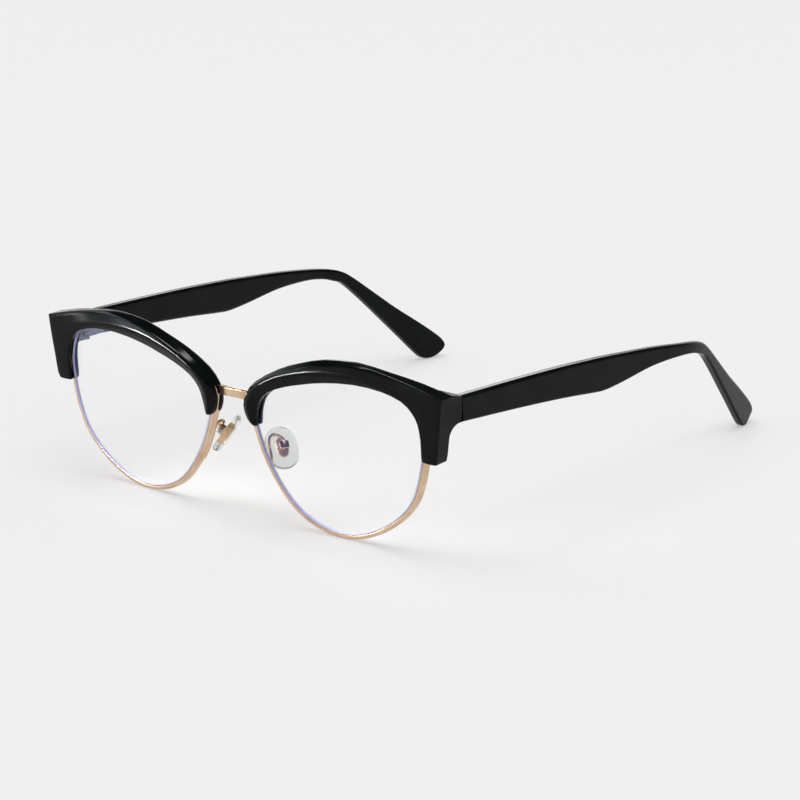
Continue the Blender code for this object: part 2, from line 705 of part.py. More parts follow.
def prong_bores(name, face, direction):
    bores = []
    for index, level in enumerate(prong_places()):
        y = prong_depth(direction)
        bores.append(cylinder(
            f"{name}_{index}", PRONG_RADIUS + RUNNING_GAP, (face - OVERRUN, y, level),
            (face + PRONG_LENGTH + RUNNING_GAP, y, level)))
    return bores


def build_brow():
    matrix = rim_matrix()
    brow = loft("brow_left", [brow_ring(row) for row in brow_stations()], matrix)
    builder = bmesh.new()
    builder.from_mesh(brow.data)
    extend_end_piece(builder, matrix)
    builder.to_mesh(brow.data)
    builder.free()
    round_edges(brow, BROW_EDGE_ROUND)
    mitre = box(
        "mitre", (END_INNER - OVERRUN, MITRE_DEPTH, END_BOTTOM - BROW_HEIGHT * 2),
        (FRONT_HALF + OVERRUN, MITRE_DEPTH + OVERRUN * 2, END_TOP + BROW_HEIGHT))
    groove = wire_room("brow_groove", SEAT_GAP)
    cutters = [mitre, end_underside(), groove, *nasal_slots(), lock_pocket(), barrel_notch(),
               leaf_seat()]
    cutters += [*brow_screw_hole(), *prong_bores("front_prong_bore", END_INNER, -1)]
    for cutter in cutters:
        combine(brow, cutter)
    return brow


def build_rim_lock():
    """The two halves brazed to the eyewire's ends, the lower one with the lug for the brow screw."""
    matrix = rim_matrix()
    low, high, left = lock_levels()
    right = left + LOCK_WIDTH
    middle, half = (left + right) / 2, LOCK_DEPTH / 2
    above = LOCK_SPLIT_RISE + WIRE_SPLIT / 2
    below = LOCK_SPLIT_RISE - WIRE_SPLIT / 2
    upper = box("rim_lock_upper_left", (left, above, -half), (right, high, half), matrix)
    lower = box("rim_lock_lower_left", (left, low, -half), (right, below, half), matrix)
    head = high + RUNNING_GAP
    tip = head - LOCK_SCREW_LENGTH
    bore_radius = LOCK_SCREW_RADIUS + RUNNING_GAP
    for target, start, end in (
            (upper, above - OVERRUN, head + OVERRUN), (lower, tip - SEAT_GAP, below + OVERRUN)):
        bore = cylinder(target.name + "_bore", bore_radius, (middle, start, 0), (middle, end, 0),
                        matrix=matrix)
        combine(target, bore)
    x, y = brow_screw_place()
    tapped = cylinder(
        "rim_lock_lug_bore", BROW_SCREW_RADIUS + RUNNING_GAP, (x, y, -LOCK_DEPTH), (x, y, LOCK_DEPTH),
        matrix=matrix)
    combine(lower, tapped)
    screw = headed_screw(
        "rim_lock_screw_left", (LOCK_SCREW_RADIUS, LOCK_HEAD_RADIUS), (middle, tip, 0),
        (middle, head, 0), LOCK_HEAD_HEIGHT, matrix=matrix)
    return upper, lower, screw


def build_brow_screw():
    matrix = rim_matrix()
    x, y = brow_screw_place()
    return headed_screw(
        "brow_screw_left", (BROW_SCREW_RADIUS, BROW_HEAD_RADIUS), (x, y, LOCK_DEPTH / 2),
        (x, y, -BROW_REAR_DEPTH - RUNNING_GAP), BROW_HEAD_HEIGHT, matrix=matrix)


def build_bridge():
    """A flat bar that bows forwards and up, its ends shaped to the eyewires they are brazed to."""
    edge = outline_at(BRIDGE_LEVEL, -1)
    end = rim_place(edge, BRIDGE_LEVEL, rim_sag(edge, BRIDGE_LEVEL))
    path = []
    for i in range(BRIDGE_POINTS):
        share = (2 * i + 1 - BRIDGE_POINTS) / (BRIDGE_POINTS - 1)
        curve = (1 - share * share) ** 2
        path.append((share * end.x, end.y - BRIDGE_BOW * curve, end.z + BRIDGE_RISE * curve))
    half_y, half_z, cut = BRIDGE_DEPTH / 2, BRIDGE_HEIGHT / 2, BRIDGE_CORNER
    profile = (
        (half_y, half_z - cut), (half_y - cut, half_z), (cut - half_y, half_z), (-half_y, half_z - cut),
        (-half_y, cut - half_z), (cut - half_y, -half_z), (half_y - cut, -half_z), (half_y, cut - half_z))
    bridge = combine(sweep("bridge", path, profile, False), wire_room("bridge_saddle", BRAZE_GAP))
    twin = bridge.modifiers.new("twin", "MIRROR")
    twin.use_bisect_axis[0] = True
    twin.merge_threshold = MERGE_GAP
    return bridge


def toe_in(y):
    """How far the temple has moved inwards at a distance behind the front."""
    ease = TEMPLE_THICKNESS * 2
    past = y - TOE_START
    if past <= -ease:
        return 0
    if past < ease:
        return math.tan(TOE_ANGLE) * (past + ease) ** 2 / (4 * ease)
    return math.tan(TOE_ANGLE) * past


def temple_rows():
    rows = [
        (uy * TEMPLE_LENGTH, uz * TEMPLE_HEIGHT, ly * TEMPLE_LENGTH, lz * TEMPLE_HEIGHT)
        for uy, uz, ly, lz in TEMPLE_STATION_SHARES]
    shift = MITRE_DEPTH + MITRE_GAP - rows[0][0]
    start = (rows[0][0] + shift, rows[0][1], rows[0][2] + shift, rows[0][3])
    return [start] + rows[1:]


def temple_thickness(y):
    """Full thickness in front, thinner towards the tip."""
    share = min(max((y - TOE_START / 2) / (TEMPLE_LENGTH - TOE_START / 2), 0), 1)
    return TEMPLE_THICKNESS + (TEMPLE_TIP_THICKNESS - TEMPLE_THICKNESS) * share


def temple_ring(row, fullness=1.0):
    """An eight-cornered section, flat outside and inside, with eased edges."""
    top_y, top_z, low_y, low_z = row
    top, low = Vector((0, top_y, top_z)), Vector((0, low_y, low_z))
    across = (top - low).normalized()
    cut = min(TEMPLE_CHAMFER, (top - low).length / 4)
    middle = (top_y + low_y) / 2
    thickness = temple_thickness(middle) * fullness
    ring = []
    for inset, edge, sign in ((0, top, -1), (cut, top, -1), (cut, low, 1), (0, low, 1)):
        point = edge + across * sign * inset
        outer = TEMPLE_OUTER - (temple_thickness(middle) - thickness) / 2 - toe_in(point.y)
        depth = cut * TEMPLE_CORNER_SHARE if inset == 0 else 0
        ring.append((point, outer - depth, outer - thickness + depth))
    outside = [Vector((out, p.y, p.z)) for p, out, _ in ring]
    inside = [Vector((back, p.y, p.z)) for p, _, back in reversed(ring)]
    return outside + inside


def temple_centre(share, rows):
    """A point on the temple's middle line, share of the way along its stations."""
    place = share * (len(rows) - 1)
    index = min(int(place), len(rows) - 2)
    row = Vector(rows[index]).lerp(Vector(rows[index + 1]), place - index)
    y, z = (row[0] + row[2]) / 2, (row[1] + row[3]) / 2
    return Vector((TEMPLE_OUTER - temple_thickness(y) / 2 - toe_in(y), y, z))


def core_path(rows, start, length):
    """Points along the temple's middle from its front face."""
    line = [temple_centre(i / CORE_SAMPLES, rows) for i in range(CORE_SAMPLES + 1)]
    line = [p for p in line if start <= p.y <= length]
    keep = [line[0]] + [p for p in line[1:-1:CORE_STRIDE]] + [line[-1]]
    keep[0] = Vector((keep[0].x, start, rows[0][1] + (rows[0][3] - rows[0][1]) / 2))
    return keep


def build_temple():
    rows = smooth_rows(temple_rows(), 1)
    rings = [temple_ring(row) for row in rows]
    rings[-1] = temple_ring(rows[-1], TIP_STATION_SHARE)
    temple = loft("temple_left", rings)
    front = MITRE_DEPTH + MITRE_GAP
    bore = tube("core_bore", core_path(rows, front - OVERRUN, CORE_LENGTH + OVERRUN),
                CORE_RADIUS + SEAT_GAP)
    combine(temple, bore)
    for cutter in prong_bores("temple_prong_bore", TEMPLE_INNER, 1):
        combine(temple, cutter)
    core = tube("temple_core_left", core_path(rows, front + SEAT_GAP, CORE_LENGTH), CORE_RADIUS)
    return temple, core


def build_hinge_leaf(name, direction, plate_x, length, barrels):
    """A plate with its barrels, and prongs into the piece that carries it."""
    near = HINGE_Y + direction * (BARREL_RADIUS + SEAT_GAP / 2)
    far = near + direction * length
    low, high = HINGE_Z - BARREL_STACK / 2, HINGE_Z + BARREL_STACK / 2
    leaf = box(name, (plate_x, min(near, far), low), (plate_x + LEAF_THICKNESS, max(near, far), high))
    for index in barrels:
        bottom = barrel_level(index)
        barrel = cylinder(
            f"{name}_barrel_{index}", BARREL_RADIUS, (HINGE_X, HINGE_Y, bottom),
            (HINGE_X, HINGE_Y, bottom + BARREL_HEIGHT), BARREL_SIDES)
        neck_low, neck_high = sorted((HINGE_Y, near + direction * LEAF_THICKNESS / 2))
        neck = box(
            f"{name}_neck_{index}", (min(plate_x, HINGE_X), neck_low, bottom),
            (plate_x + LEAF_THICKNESS, neck_high, bottom + BARREL_HEIGHT))
        combine(leaf, barrel, "UNION")
        combine(leaf, neck, "UNION")
    for index, level in enumerate(prong_places()):
        y = prong_depth(direction)
        prong = cylinder(
            f"{name}_prong_{index}", PRONG_RADIUS, (plate_x + LEAF_THICKNESS / 2, y, level),
            (plate_x + LEAF_THICKNESS + RUNNING_GAP + PRONG_LENGTH, y, level))
        combine(leaf, prong, "UNION")
    bore = cylinder(
        f"{name}_bore", HINGE_SCREW_RADIUS + RUNNING_GAP, (HINGE_X, HINGE_Y, low - OVERRUN),
        (HINGE_X, HINGE_Y, high + OVERRUN), BARREL_SIDES)
    return combine(leaf, bore)


def build_hinge():
    front_x = END_INNER - RUNNING_GAP - LEAF_THICKNESS
    temple_x = TEMPLE_INNER - RUNNING_GAP - LEAF_THICKNESS
    front = build_hinge_leaf("hinge_front_left", -1, front_x, FRONT_LEAF_LENGTH, FRONT_BARRELS)
    rear = build_hinge_leaf("hinge_temple_left", 1, temple_x, TEMPLE_LEAF_LENGTH, TEMPLE_BARRELS)
    screw = headed_screw(
        "hinge_screw_left", (HINGE_SCREW_RADIUS, HINGE_HEAD_RADIUS),
        (HINGE_X, HINGE_Y, HINGE_Z - BARREL_STACK / 2),
        (HINGE_X, HINGE_Y, HINGE_Z + BARREL_STACK / 2 + RUNNING_GAP), HINGE_HEAD_HEIGHT, BARREL_SIDES)
    return front, rear, screw


def pad_matrix():
    """The pad mount's frame: x along the pad's width, y along its length and z towards the nose."""
    splay, frontal = PAD_SPLAY_ANGLE, PAD_FRONTAL_ANGLE
    length = Vector((
        -math.sin(splay) * math.cos(frontal), math.sin(splay) * math.sin(frontal), math.cos(splay)))
    normal = Vector((
        -math.cos(splay) * math.cos(frontal), math.cos(splay) * math.sin(frontal), -math.sin(splay)))
    width = length.cross(normal)
    turn = Matrix((width, length, normal)).transposed().to_4x4()
    return Matrix.Translation((MOUNT_OFFSET, MOUNT_SETBACK, MOUNT_LEVEL)) @ turn


def oval(width, length, depth, sides=PAD_SIDES):
    return [
        Vector((width / 2 * math.cos(math.tau * i / sides), length / 2 * math.sin(math.tau * i / sides),
                depth))
        for i in range(sides)]


def build_pad():
    """A soft oval pad with the pocket that its insert is moulded into."""
    rings = []
    for reach, level in PAD_RING_SHARES:
        rings.append(oval(
            PAD_WIDTH - PAD_THICKNESS * 2 * (1 - reach), PAD_LENGTH - PAD_THICKNESS * 2 * (1 - reach),
            PAD_LIFT + PAD_THICKNESS * level))
    pad = loft("nose_pad_left", rings, pad_matrix())
    pocket = loft("pad_pocket", [
        oval(INSERT_WIDTH + SEAT_GAP, INSERT_LENGTH + SEAT_GAP, PAD_LIFT - OVERRUN / 4),
        oval(INSERT_WIDTH + SEAT_GAP, INSERT_LENGTH + SEAT_GAP,
             PAD_LIFT + INSERT_INSET + INSERT_THICKNESS + RUNNING_GAP)], pad_matrix())
    return combine(pad, pocket)


def build_insert():
    """The metal insert: an oval plate in the pad and a tab for the screw."""
    matrix = pad_matrix()
    level = PAD_LIFT + INSERT_INSET
    insert = loft("pad_insert_left", [
        oval(INSERT_WIDTH, INSERT_LENGTH, level),
        oval(INSERT_WIDTH, INSERT_LENGTH, level + INSERT_THICKNESS)], matrix)
    half_x, half_y = TAB_THICKNESS / 2, TAB_LENGTH / 2
    tab = box("pad_insert_tab", (-half_x, -half_y, -half_y + RUNNING_GAP),
              (half_x, half_y, level + INSERT_THICKNESS / 2), matrix)
    combine(insert, tab, "UNION")
    bore = cylinder("pad_insert_bore", PAD_SCREW_RADIUS + RUNNING_GAP / 2, (-BOX_WIDTH, 0, 0),
                    (BOX_WIDTH, 0, 0), matrix=matrix)
    return combine(insert, bore)


def build_pad_box():
    """The U-shaped box on the arm that the insert's tab is screwed into."""
    matrix = pad_matrix()
    half = Vector((BOX_WIDTH / 2, BOX_LENGTH / 2, BOX_THICKNESS / 2))
    block = box("pad_box_left", (-half.x, -half.y, -half.z - BOX_WALL / 2), half, matrix)
    slot = box("pad_box_slot", (BOX_WALL - half.x, -half.y - OVERRUN, -half.z),
               (half.x - BOX_WALL, half.y + OVERRUN, half.z + OVERRUN), matrix)
    bore = cylinder("pad_box_bore", PAD_SCREW_RADIUS + RUNNING_GAP, (-BOX_WIDTH, 0, 0),
                    (BOX_WIDTH, 0, 0), matrix=matrix)
    return combine(combine(block, slot), bore)


def build_pad_screw():
    matrix = pad_matrix()
    reach = BOX_WIDTH / 2 + RUNNING_GAP
    return headed_screw(
        "pad_screw_left", (PAD_SCREW_RADIUS, PAD_HEAD_RADIUS), (-reach, 0, 0), (reach, 0, 0),
        PAD_HEAD_HEIGHT, matrix=matrix)


def build_pad_arm():
    """A gooseneck from its foot on the eyewire's back to the box's upper end."""
    behind = -WIRE_DEPTH / 2 - SEAT_GAP / 2 - ARM_RADIUS
    points = []
    for level in ARM_FOOT_LEVELS:
        x = outline_at(level, -1, WIRE_HEIGHT / 2)
        points.append(rim_place(x, level, rim_sag(x, level) + behind))
    points += [
        Vector((x * MOUNT_OFFSET, y * MOUNT_SETBACK, z * MOUNT_LEVEL)) for x, y, z in ARM_LOOP_SHARES]
    seat = BOX_LENGTH / 2 + BRAZE_GAP
    points += [pad_matrix() @ Vector((0, seat + ARM_RADIUS * 2, 0)), pad_matrix() @ Vector((0, seat, 0))]
    return tube("pad_arm_left", smooth_rows(points, ARM_STEPS), ARM_RADIUS)


def add_joint(name, place):
    joint = bpy.data.objects.new(name, None)
    joint.empty_display_size = BROW_HEIGHT
    joint.location = place
    PARTS.objects.link(joint)
    return joint


def keep_parent(piece, parent):
    bpy.context.view_layer.update()
    piece.parent = parent
    piece.matrix_parent_inverse = parent.matrix_world.inverted()


def mirror_piece(piece, joints):
    """The right-hand twin of a finished left-hand piece."""
    bpy.context.view_layer.update()
    graph = bpy.context.evaluated_depsgraph_get()
    mesh = bpy.data.meshes.new_from_object(piece.evaluated_get(graph))
    mesh.transform(Matrix.Scale(-1, 4, (1, 0, 0)) @ piece.matrix_world)
    mesh.flip_normals()
    twin = add_object(piece.name.replace("left", "right"), mesh)
    if piece.parent:
        keep_parent(twin, joints[piece.parent.name.replace("left", "right")])
    return twin


def stand_at_origin(pieces):
    """Moves the part so that the middle of its footprint's box is the origin."""
    bpy.context.view_layer.update()
    graph = bpy.context.evaluated_depsgraph_get()
    places = []
    for piece in pieces:
        solid = piece.evaluated_get(graph)
        places += [solid.matrix_world @ vert.co for vert in solid.data.vertices]
    low = [min(place[k] for place in places) for k in range(3)]
    high = [max(place[k] for place in places) for k in range(3)]
    root = add_joint("eyeglasses_origin", (0, 0, 0))
    bpy.context.view_layer.update()
    for item in PARTS.objects:
        if item.parent is None and item is not root:
            item.parent = root
    for item in TOOLS.objects:
        item.parent = root
    root.location = (-(low[0] + high[0]) / 2, -(low[1] + high[1]) / 2, -low[2])
    bpy.context.view_layer.update()


def main():
    looks = {
        "black_acetate": BLACK_ACETATE, "rose_gold": ROSE_GOLD, "clear_lens": CLEAR_LENS,
        "clear_pad": CLEAR_PAD, "gold_insert": GOLD_INSERT, "steel": STEEL}
    lock_upper, lock_lower, lock_screw = build_rim_lock()
    hinge_front, hinge_temple, hinge_screw = build_hinge()
    temple, core = build_temple()
    pad, insert = build_pad(), build_insert()
    finishes = {
        "black_acetate": [build_brow(), temple],
        "rose_gold": [build_eyewire(), build_pad_arm(), build_pad_box(), lock_upper, lock_lower],
        "clear_lens": [build_lens()],
        "clear_pad": [pad],
        "gold_insert": [insert],
        "steel": [lock_screw, build_brow_screw(), build_pad_screw(), hinge_front, hinge_temple,
                  hinge_screw, core],
    }
    joints = {}
    for side, sign in (("left", 1), ("right", -1)):
        joints["temple_joint_" + side] = add_joint(
            "temple_joint_" + side, (sign * HINGE_X, HINGE_Y, HINGE_Z))
        joints["pad_joint_" + side] = add_joint(
            "pad_joint_" + side, (sign * MOUNT_OFFSET, MOUNT_SETBACK, MOUNT_LEVEL))
    for piece in (temple, core, hinge_temple):
        keep_parent(piece, joints["temple_joint_left"])
    for piece in (pad, insert):
        keep_parent(piece, joints["pad_joint_left"])
    pieces = []
    for finish, group in finishes.items():
        for piece in group:
            for item in (piece, mirror_piece(piece, joints)):
                item.data.materials.clear()
                item.data.materials.append(make_material(item.name, looks[finish]))
                pieces.append(item)
    bridge = build_bridge()
    bridge.data.materials.append(make_material(bridge.name, ROSE_GOLD))
    stand_at_origin(pieces + [bridge])


clear_scene()
PARTS = make_collection("browline_eyeglasses")
TOOLS = make_collection("cutters")
main()
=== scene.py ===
"""Browline eyeglasses: fine shapes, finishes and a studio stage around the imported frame.

Laid out as a Blender add-on and run as a script. Left-hand pieces are modelled, and the right-hand
ones are their mirror images. Local rim coordinates run x outwards, y up and z forwards.
"""
import math

import bmesh
import bpy
from bpy.props import FloatProperty, FloatVectorProperty, PointerProperty
from mathutils import Matrix, Vector


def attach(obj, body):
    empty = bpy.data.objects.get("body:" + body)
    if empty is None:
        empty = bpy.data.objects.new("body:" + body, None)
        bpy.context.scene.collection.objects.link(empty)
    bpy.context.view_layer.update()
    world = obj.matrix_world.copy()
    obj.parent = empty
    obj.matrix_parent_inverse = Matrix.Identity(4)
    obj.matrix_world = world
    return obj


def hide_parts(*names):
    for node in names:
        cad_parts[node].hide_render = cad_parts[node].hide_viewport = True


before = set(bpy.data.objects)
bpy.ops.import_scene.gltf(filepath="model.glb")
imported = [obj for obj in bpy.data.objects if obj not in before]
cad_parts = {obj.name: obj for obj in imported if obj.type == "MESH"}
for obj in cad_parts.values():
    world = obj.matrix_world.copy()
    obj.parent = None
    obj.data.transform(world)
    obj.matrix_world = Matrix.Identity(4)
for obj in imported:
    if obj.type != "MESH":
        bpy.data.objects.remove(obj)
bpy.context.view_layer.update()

bl_info = {
    "name": "Browline Eyeglasses",
    "version": (1, 0, 0),
    "blender": (4, 5, 0),
    "location": "View3D > Sidebar > Eyeglasses",
    "description": "Dresses a packed pair of browline eyeglasses with fine shapes and finishes",
    "category": "Add Mesh",
}

MM = 0.001
SIDES = ("left", "right")
OVERRUN = 2.0 * MM
QUARTER_TURN = math.pi / 2


def mm(*sizes):
    """Lengths in metres, from millimetres."""
    return tuple(size * MM for size in sizes)


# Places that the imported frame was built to
FRONT_SETBACK = -68.47 * MM
LENS_WIDTH, LENS_HEIGHT, LENS_CURVE_RADIUS = mm(55.4, 40.8, 250.0)
BRIDGE_GAP, BRIDGE_LEVEL = mm(13.0, 10.75)
END_WIDTH, END_INNER_WIDTH, END_TOP, END_BOTTOM = mm(7.1, 1.6, 40.9, 34.2)
WRAP_ANGLE, TILT_ANGLE = math.radians(3.1), math.radians(1.7)
BROW_HEIGHT, BROW_FRONT_DEPTH, BROW_REAR_DEPTH = mm(6.6, 2.8, 2.7)
MITRE_DEPTH, MITRE_GAP = mm(8.0, 0.3)
LOBE_REAR_DEPTH, LOBE_ARC_RADIUS, LOBE_GAP = mm(4.1, 3.4, 0.3)
TEMPLE_LENGTH, TEMPLE_OUTSET, TOE_START, TOE_EASE = mm(141.7, 0.8, 100.4, 6.8)
TOE_ANGLE = math.radians(15.3)
PAD_SPLAY_ANGLE, PAD_FRONTAL_ANGLE = math.radians(36.0), math.radians(26.0)
MOUNT_PLACE = mm(11.4, 4.8, 19.0)
HINGE_PLACE = mm(63.3, 8.15, 37.05)
HINGE_STACK, HINGE_SEAT = mm(5.6, 0.15)

# Rim locks: the level that they stand at, the eyewire's split and the brow screw, whose place is
# measured outwards from the lock and down from the split
LOCK_LEVEL, LOCK_SPLIT_RISE, WIRE_SPLIT = mm(5.1, 9.8, 0.3)
BROW_SCREW_OUT, BROW_SCREW_DROP = mm(1.3, 3.4)

# Rooms cut in a brow: lock, hinge leaf, hinge barrels, screw bore and the slit at the nose
LOCK_ROOM_LOW, LOCK_ROOM_HIGH = mm(-1.1, 4.75, -1.25), mm(2.9, 13.2, 1.25)
LEAF_ROOM_LENGTH, LEAF_ROOM_GAP = mm(4.1, 0.3)
BARREL_ROOM_RADIUS, BARREL_ROOM_GAP, BROW_BORE_RADIUS, NOSE_SLIT = mm(1.55, 1.1, 1.15, 0.55)

# Reach of the brow's lower and upper crease, and of the eased rim of a sawn face
LOWER_CREASE, UPPER_CREASE, MITRE_EASE = mm(0.95, 0.4, 0.16)

# Eyewires and lenses, from the rim plane
WIRE_EASE, WIRE_LIP, GROOVE_HALF, GROOVE_DEPTH = mm(0.42, 0.1, 0.65, 0.55)
LENS_FRONT, LENS_REAR, LENS_EDGE = mm(1.25, -0.8, 0.4)
LENS_CHAMFER, LENS_APEX, LENS_ROLL = mm(0.3, 0.35, 0.4)
LENS_RING_SHARES = [0.1 * k for k in range(1, 10)] + [0.96]

# Bridge bar: half sizes, eased corners, and how far it bows and rises
BRIDGE_HALF_DEPTH, BRIDGE_HALF_HEIGHT, BRIDGE_EASE = mm(0.75, 1.15, 0.3)
BRIDGE_BOW, BRIDGE_RISE = mm(1.1, 0.5)
BRIDGE_SEAT_SHARE = 0.6

# Nose pads, with the insert's section as width, length and level, and its tab
PAD_LIFT, PAD_THICKNESS, INSERT_INSET = mm(0.75, 2.1, 0.3)
PAD_TAPER_SHARE, PAD_FULLNESS = 1.1, 2.25
INSERT_SECTION = (mm(3.0, 5.2, 0.0), mm(3.2, 5.4, 0.15), mm(3.2, 5.4, 0.45), mm(3.0, 5.2, 0.6))
TAB_LOW, TAB_HIGH, TAB_EASE = mm(-0.45, -0.75, -0.6), mm(0.45, 0.75), 0.12 * MM

# Pad arms, with the share of the wire's radius that stands clear of the eyewire's back, and their
# screw boxes
ARM_RADIUS, BOX_WALL, BOX_EASE = mm(0.36, 0.55, 0.22)
ARM_STAND_SHARE = 0.9
BOX_HALF = Vector(mm(1.25, 1.0, 0.8))
PAD_SCREW_HALF = 1.4 * MM

# Screws: radius of the shank and of the head, and height of the head
PAD_SCREW, HINGE_SCREW, BROW_SCREW = mm(0.35, 0.7, 0.35), mm(0.6, 1.1, 0.5), mm(0.5, 1.0, 0.7)
BROW_SCREW_TIP, BROW_SCREW_PROUD = mm(0.95, 0.05)

# Lens outline, from the temporal side over the top to the nose: shares of the half width and height
LENS_OUTLINE_SHARES = (
    (1.000, 0.300), (0.975, 0.640), (0.865, 0.868), (0.560, 0.985), (0.080, 0.995),
    (-0.430, 0.890), (-0.820, 0.740), (-0.990, 0.520), (-0.965, 0.250), (-0.800, -0.290),
    (-0.510, -0.765), (-0.150, -0.975), (0.210, -0.965), (0.590, -0.730), (0.870, -0.340),
)
# Brow stations from the nasal tip to the temporal foot. Inner edge: shares of the lens half sizes.
# Outer edge, from the inner one: shares of END_WIDTH and BROW_HEIGHT. Then the two creases and the
# back's step, as shares of the way from the inner to the outer edge.
BROW_STATION_SHARES = (
    (-0.915, 0.196, -0.190, -0.012, 0.40, 0.72, 0.80),
    (-0.913, 0.232, -0.365, 0.010, 0.43, 0.71, 0.80),
    (-0.910, 0.305, -0.510, 0.058, 0.46, 0.71, 0.80),
    (-0.895, 0.407, -0.620, 0.116, 0.53, 0.74, 0.80),
    (-0.852, 0.544, -0.668, 0.168, 0.57, 0.78, 0.78),
    (-0.744, 0.676, -0.622, 0.322, 0.60, 0.80, 0.74),
    (-0.549, 0.784, -0.400, 0.590, 0.61, 0.82, 0.66),
    (-0.332, 0.863, -0.225, 0.755, 0.55, 0.83, 0.60),
    (-0.079, 0.936, -0.072, 0.850, 0.46, 0.84, 0.60),
    (0.264, 0.985, 0.035, 0.819, 0.35, 0.85, 0.60),
    (0.581, 0.966, 0.200, 0.690, 0.28, 0.86, 0.62),
    (0.798, 0.892, 0.600, 0.670, 0.28, 0.86, 0.72),
    (0.913, 0.779, 1.338, 0.697, 0.30, 0.84, 0.41),
    (0.975, 0.642, 0.986, 0.212, 0.30, 0.80, 0.32),
    (1.000, 0.441, 0.775, 0.045, 0.30, 0.80, 0.27),
    (1.000, 0.240, 0.690, 0.000, 0.30, 0.80, 0.31),
    (1.004, 0.167, 0.606, -0.015, 0.30, 0.80, 0.33),
)
# Depths ahead of the rim plane at the inner edge, the creases and the outer edge, as shares of
# BROW_FRONT_DEPTH, and behind it at the outer edge and the back, as shares of BROW_REAR_DEPTH
BROW_DEPTH_SHARES = (
    (0.56, 0.72, 0.66, 0.50, 0.48, 0.72),
    (0.68, 0.88, 0.78, 0.60, 0.50, 0.78),
    (0.74, 0.97, 0.85, 0.66, 0.52, 0.81),
    (0.78, 1.04, 0.92, 0.70, 0.52, 0.82),
    (0.78, 1.10, 0.98, 0.66, 0.50, 0.84),
    (0.78, 1.17, 1.02, 0.53, 0.38, 0.90),
    (0.77, 1.17, 1.00, 0.34, 0.22, 0.96),
    (0.75, 1.15, 0.96, 0.24, 0.06, 1.00),
    (0.73, 1.11, 0.86, 0.25, 0.08, 1.00),
    (0.72, 1.01, 0.70, 0.36, 0.12, 1.00),
    (0.72, 0.88, 0.58, 0.47, 0.30, 1.00),
    (0.72, 0.80, 0.66, 0.58, 0.72, 1.00),
    (0.72, 0.77, 0.71, 0.66, 1.00, 1.00),
    (0.72, 0.75, 0.74, 0.70, 1.00, 1.00),
    (0.72, 0.75, 0.74, 0.70, 1.00, 1.00),
    (0.72, 0.75, 0.74, 0.70, 1.00, 1.00),
    (0.60, 0.68, 0.68, 0.58, 0.95, 0.95),
)
BROW_CORNER_STATION = 12

# How finely things are divided
BROW_STEPS, TEMPLE_STEPS, ARM_STEPS = 2, 4, 6
CREASE_STEPS, CORNER_STEPS, TIP_STEPS, LOBE_STEPS = 4, 6, 6, 16
BRIDGE_STEPS, BRIDGE_CORNER_STEPS = 16, 3
OUTLINE_POINTS, ROOM_POINTS, WIRE_POINTS, LENS_POINTS = 160, 96, 150, 112
PAD_SIDES, ARM_SIDES, SCREW_SIDES, BORE_SIDES, BARREL_ROOM_SIDES = 40, 16, 28, 32, 40

# The most of a side that a rounded corner or a crease takes up
CORNER_SHARE, CREASE_SHARE = 0.45, 0.44
# A wire's domed end: how far it reaches past the wire, and its width there and at its foot
DOME_REACH, DOME_TOP, DOME_FOOT = 0.3, 0.55, 0.92
# Corners of the temple's section, outer top first: whether at the low edge, whether on the inside,
# and its share of the rounding
TEMPLE_CORNERS = ((False, False, 0.95), (True, False, 0.62), (True, True, 1.0), (False, True, 1.0))
# A screw's tip: its radius and length as shares of the shank's radius. Its slot: half width and half
# length as shares of the head's radius, and depth of its height. Its head: level and radius
SCREW_TIP_SHARES = (0.8, 0.25)
SCREW_SLOT_SHARES = (0.17, 1.2, 0.5)
SCREW_HEAD_SHARES = ((0.0, 0.94), (0.12, 1.0), (0.6, 1.0), (0.86, 0.86), (1.0, 0.55))

# Temple stations: upper and lower edge, each as shares of TEMPLE_LENGTH and of the end piece's top
TEMPLE_STATION_SHARES = (
    (0.0575, 0.998, 0.0577, 0.835), (0.2097, 0.976, 0.2074, 0.794), (0.3363, 0.952, 0.3322, 0.753),
    (0.4208, 0.930, 0.4147, 0.718), (0.4621, 0.918, 0.4518, 0.707), (0.5168, 0.898, 0.5046, 0.720),
    (0.6001, 0.866, 0.5891, 0.751), (0.6844, 0.823, 0.6684, 0.750), (0.7354, 0.791, 0.7160, 0.731),
    (0.7660, 0.755, 0.7440, 0.701), (0.7924, 0.693, 0.7692, 0.661), (0.8345, 0.572, 0.8094, 0.525),
    (0.8863, 0.423, 0.8564, 0.348), (0.9399, 0.282, 0.9025, 0.173), (0.9765, 0.180, 0.9303, 0.066),
    (0.9939, 0.122, 0.9467, 0.013), (1.0000, 0.074, 0.9627, 0.000), (0.9937, 0.038, 0.9795, 0.005),
)
# Gooseneck of a pad arm: shares of the mount's offset from the middle, its setback and its level
ARM_LOOP_SHARES = (
    (0.991, 0.115, 0.889), (0.930, 0.177, 0.984), (0.886, 0.208, 1.074),
    (0.860, 0.333, 1.137), (0.855, 0.604, 1.163), (0.868, 0.854, 1.142),
)
ARM_FOOT_LEVELS = mm(-9.5, -8.0, -6.5)
# Its end behind the box: shares of the box's half length and of the depth of its floor
ARM_END_SHARES = ((1.7, 0.6), (0.3, 1.0))
# A pad's section from the arm's side to the nose's side: reach from its middle and level
PAD_SECTION_SHARES = (
    (0.55, 0.00), (0.80, 0.03), (0.92, 0.12), (0.985, 0.27), (1.0, 0.42), (0.985, 0.58),
    (0.93, 0.74), (0.82, 0.87), (0.62, 0.96), (0.32, 1.0),
)

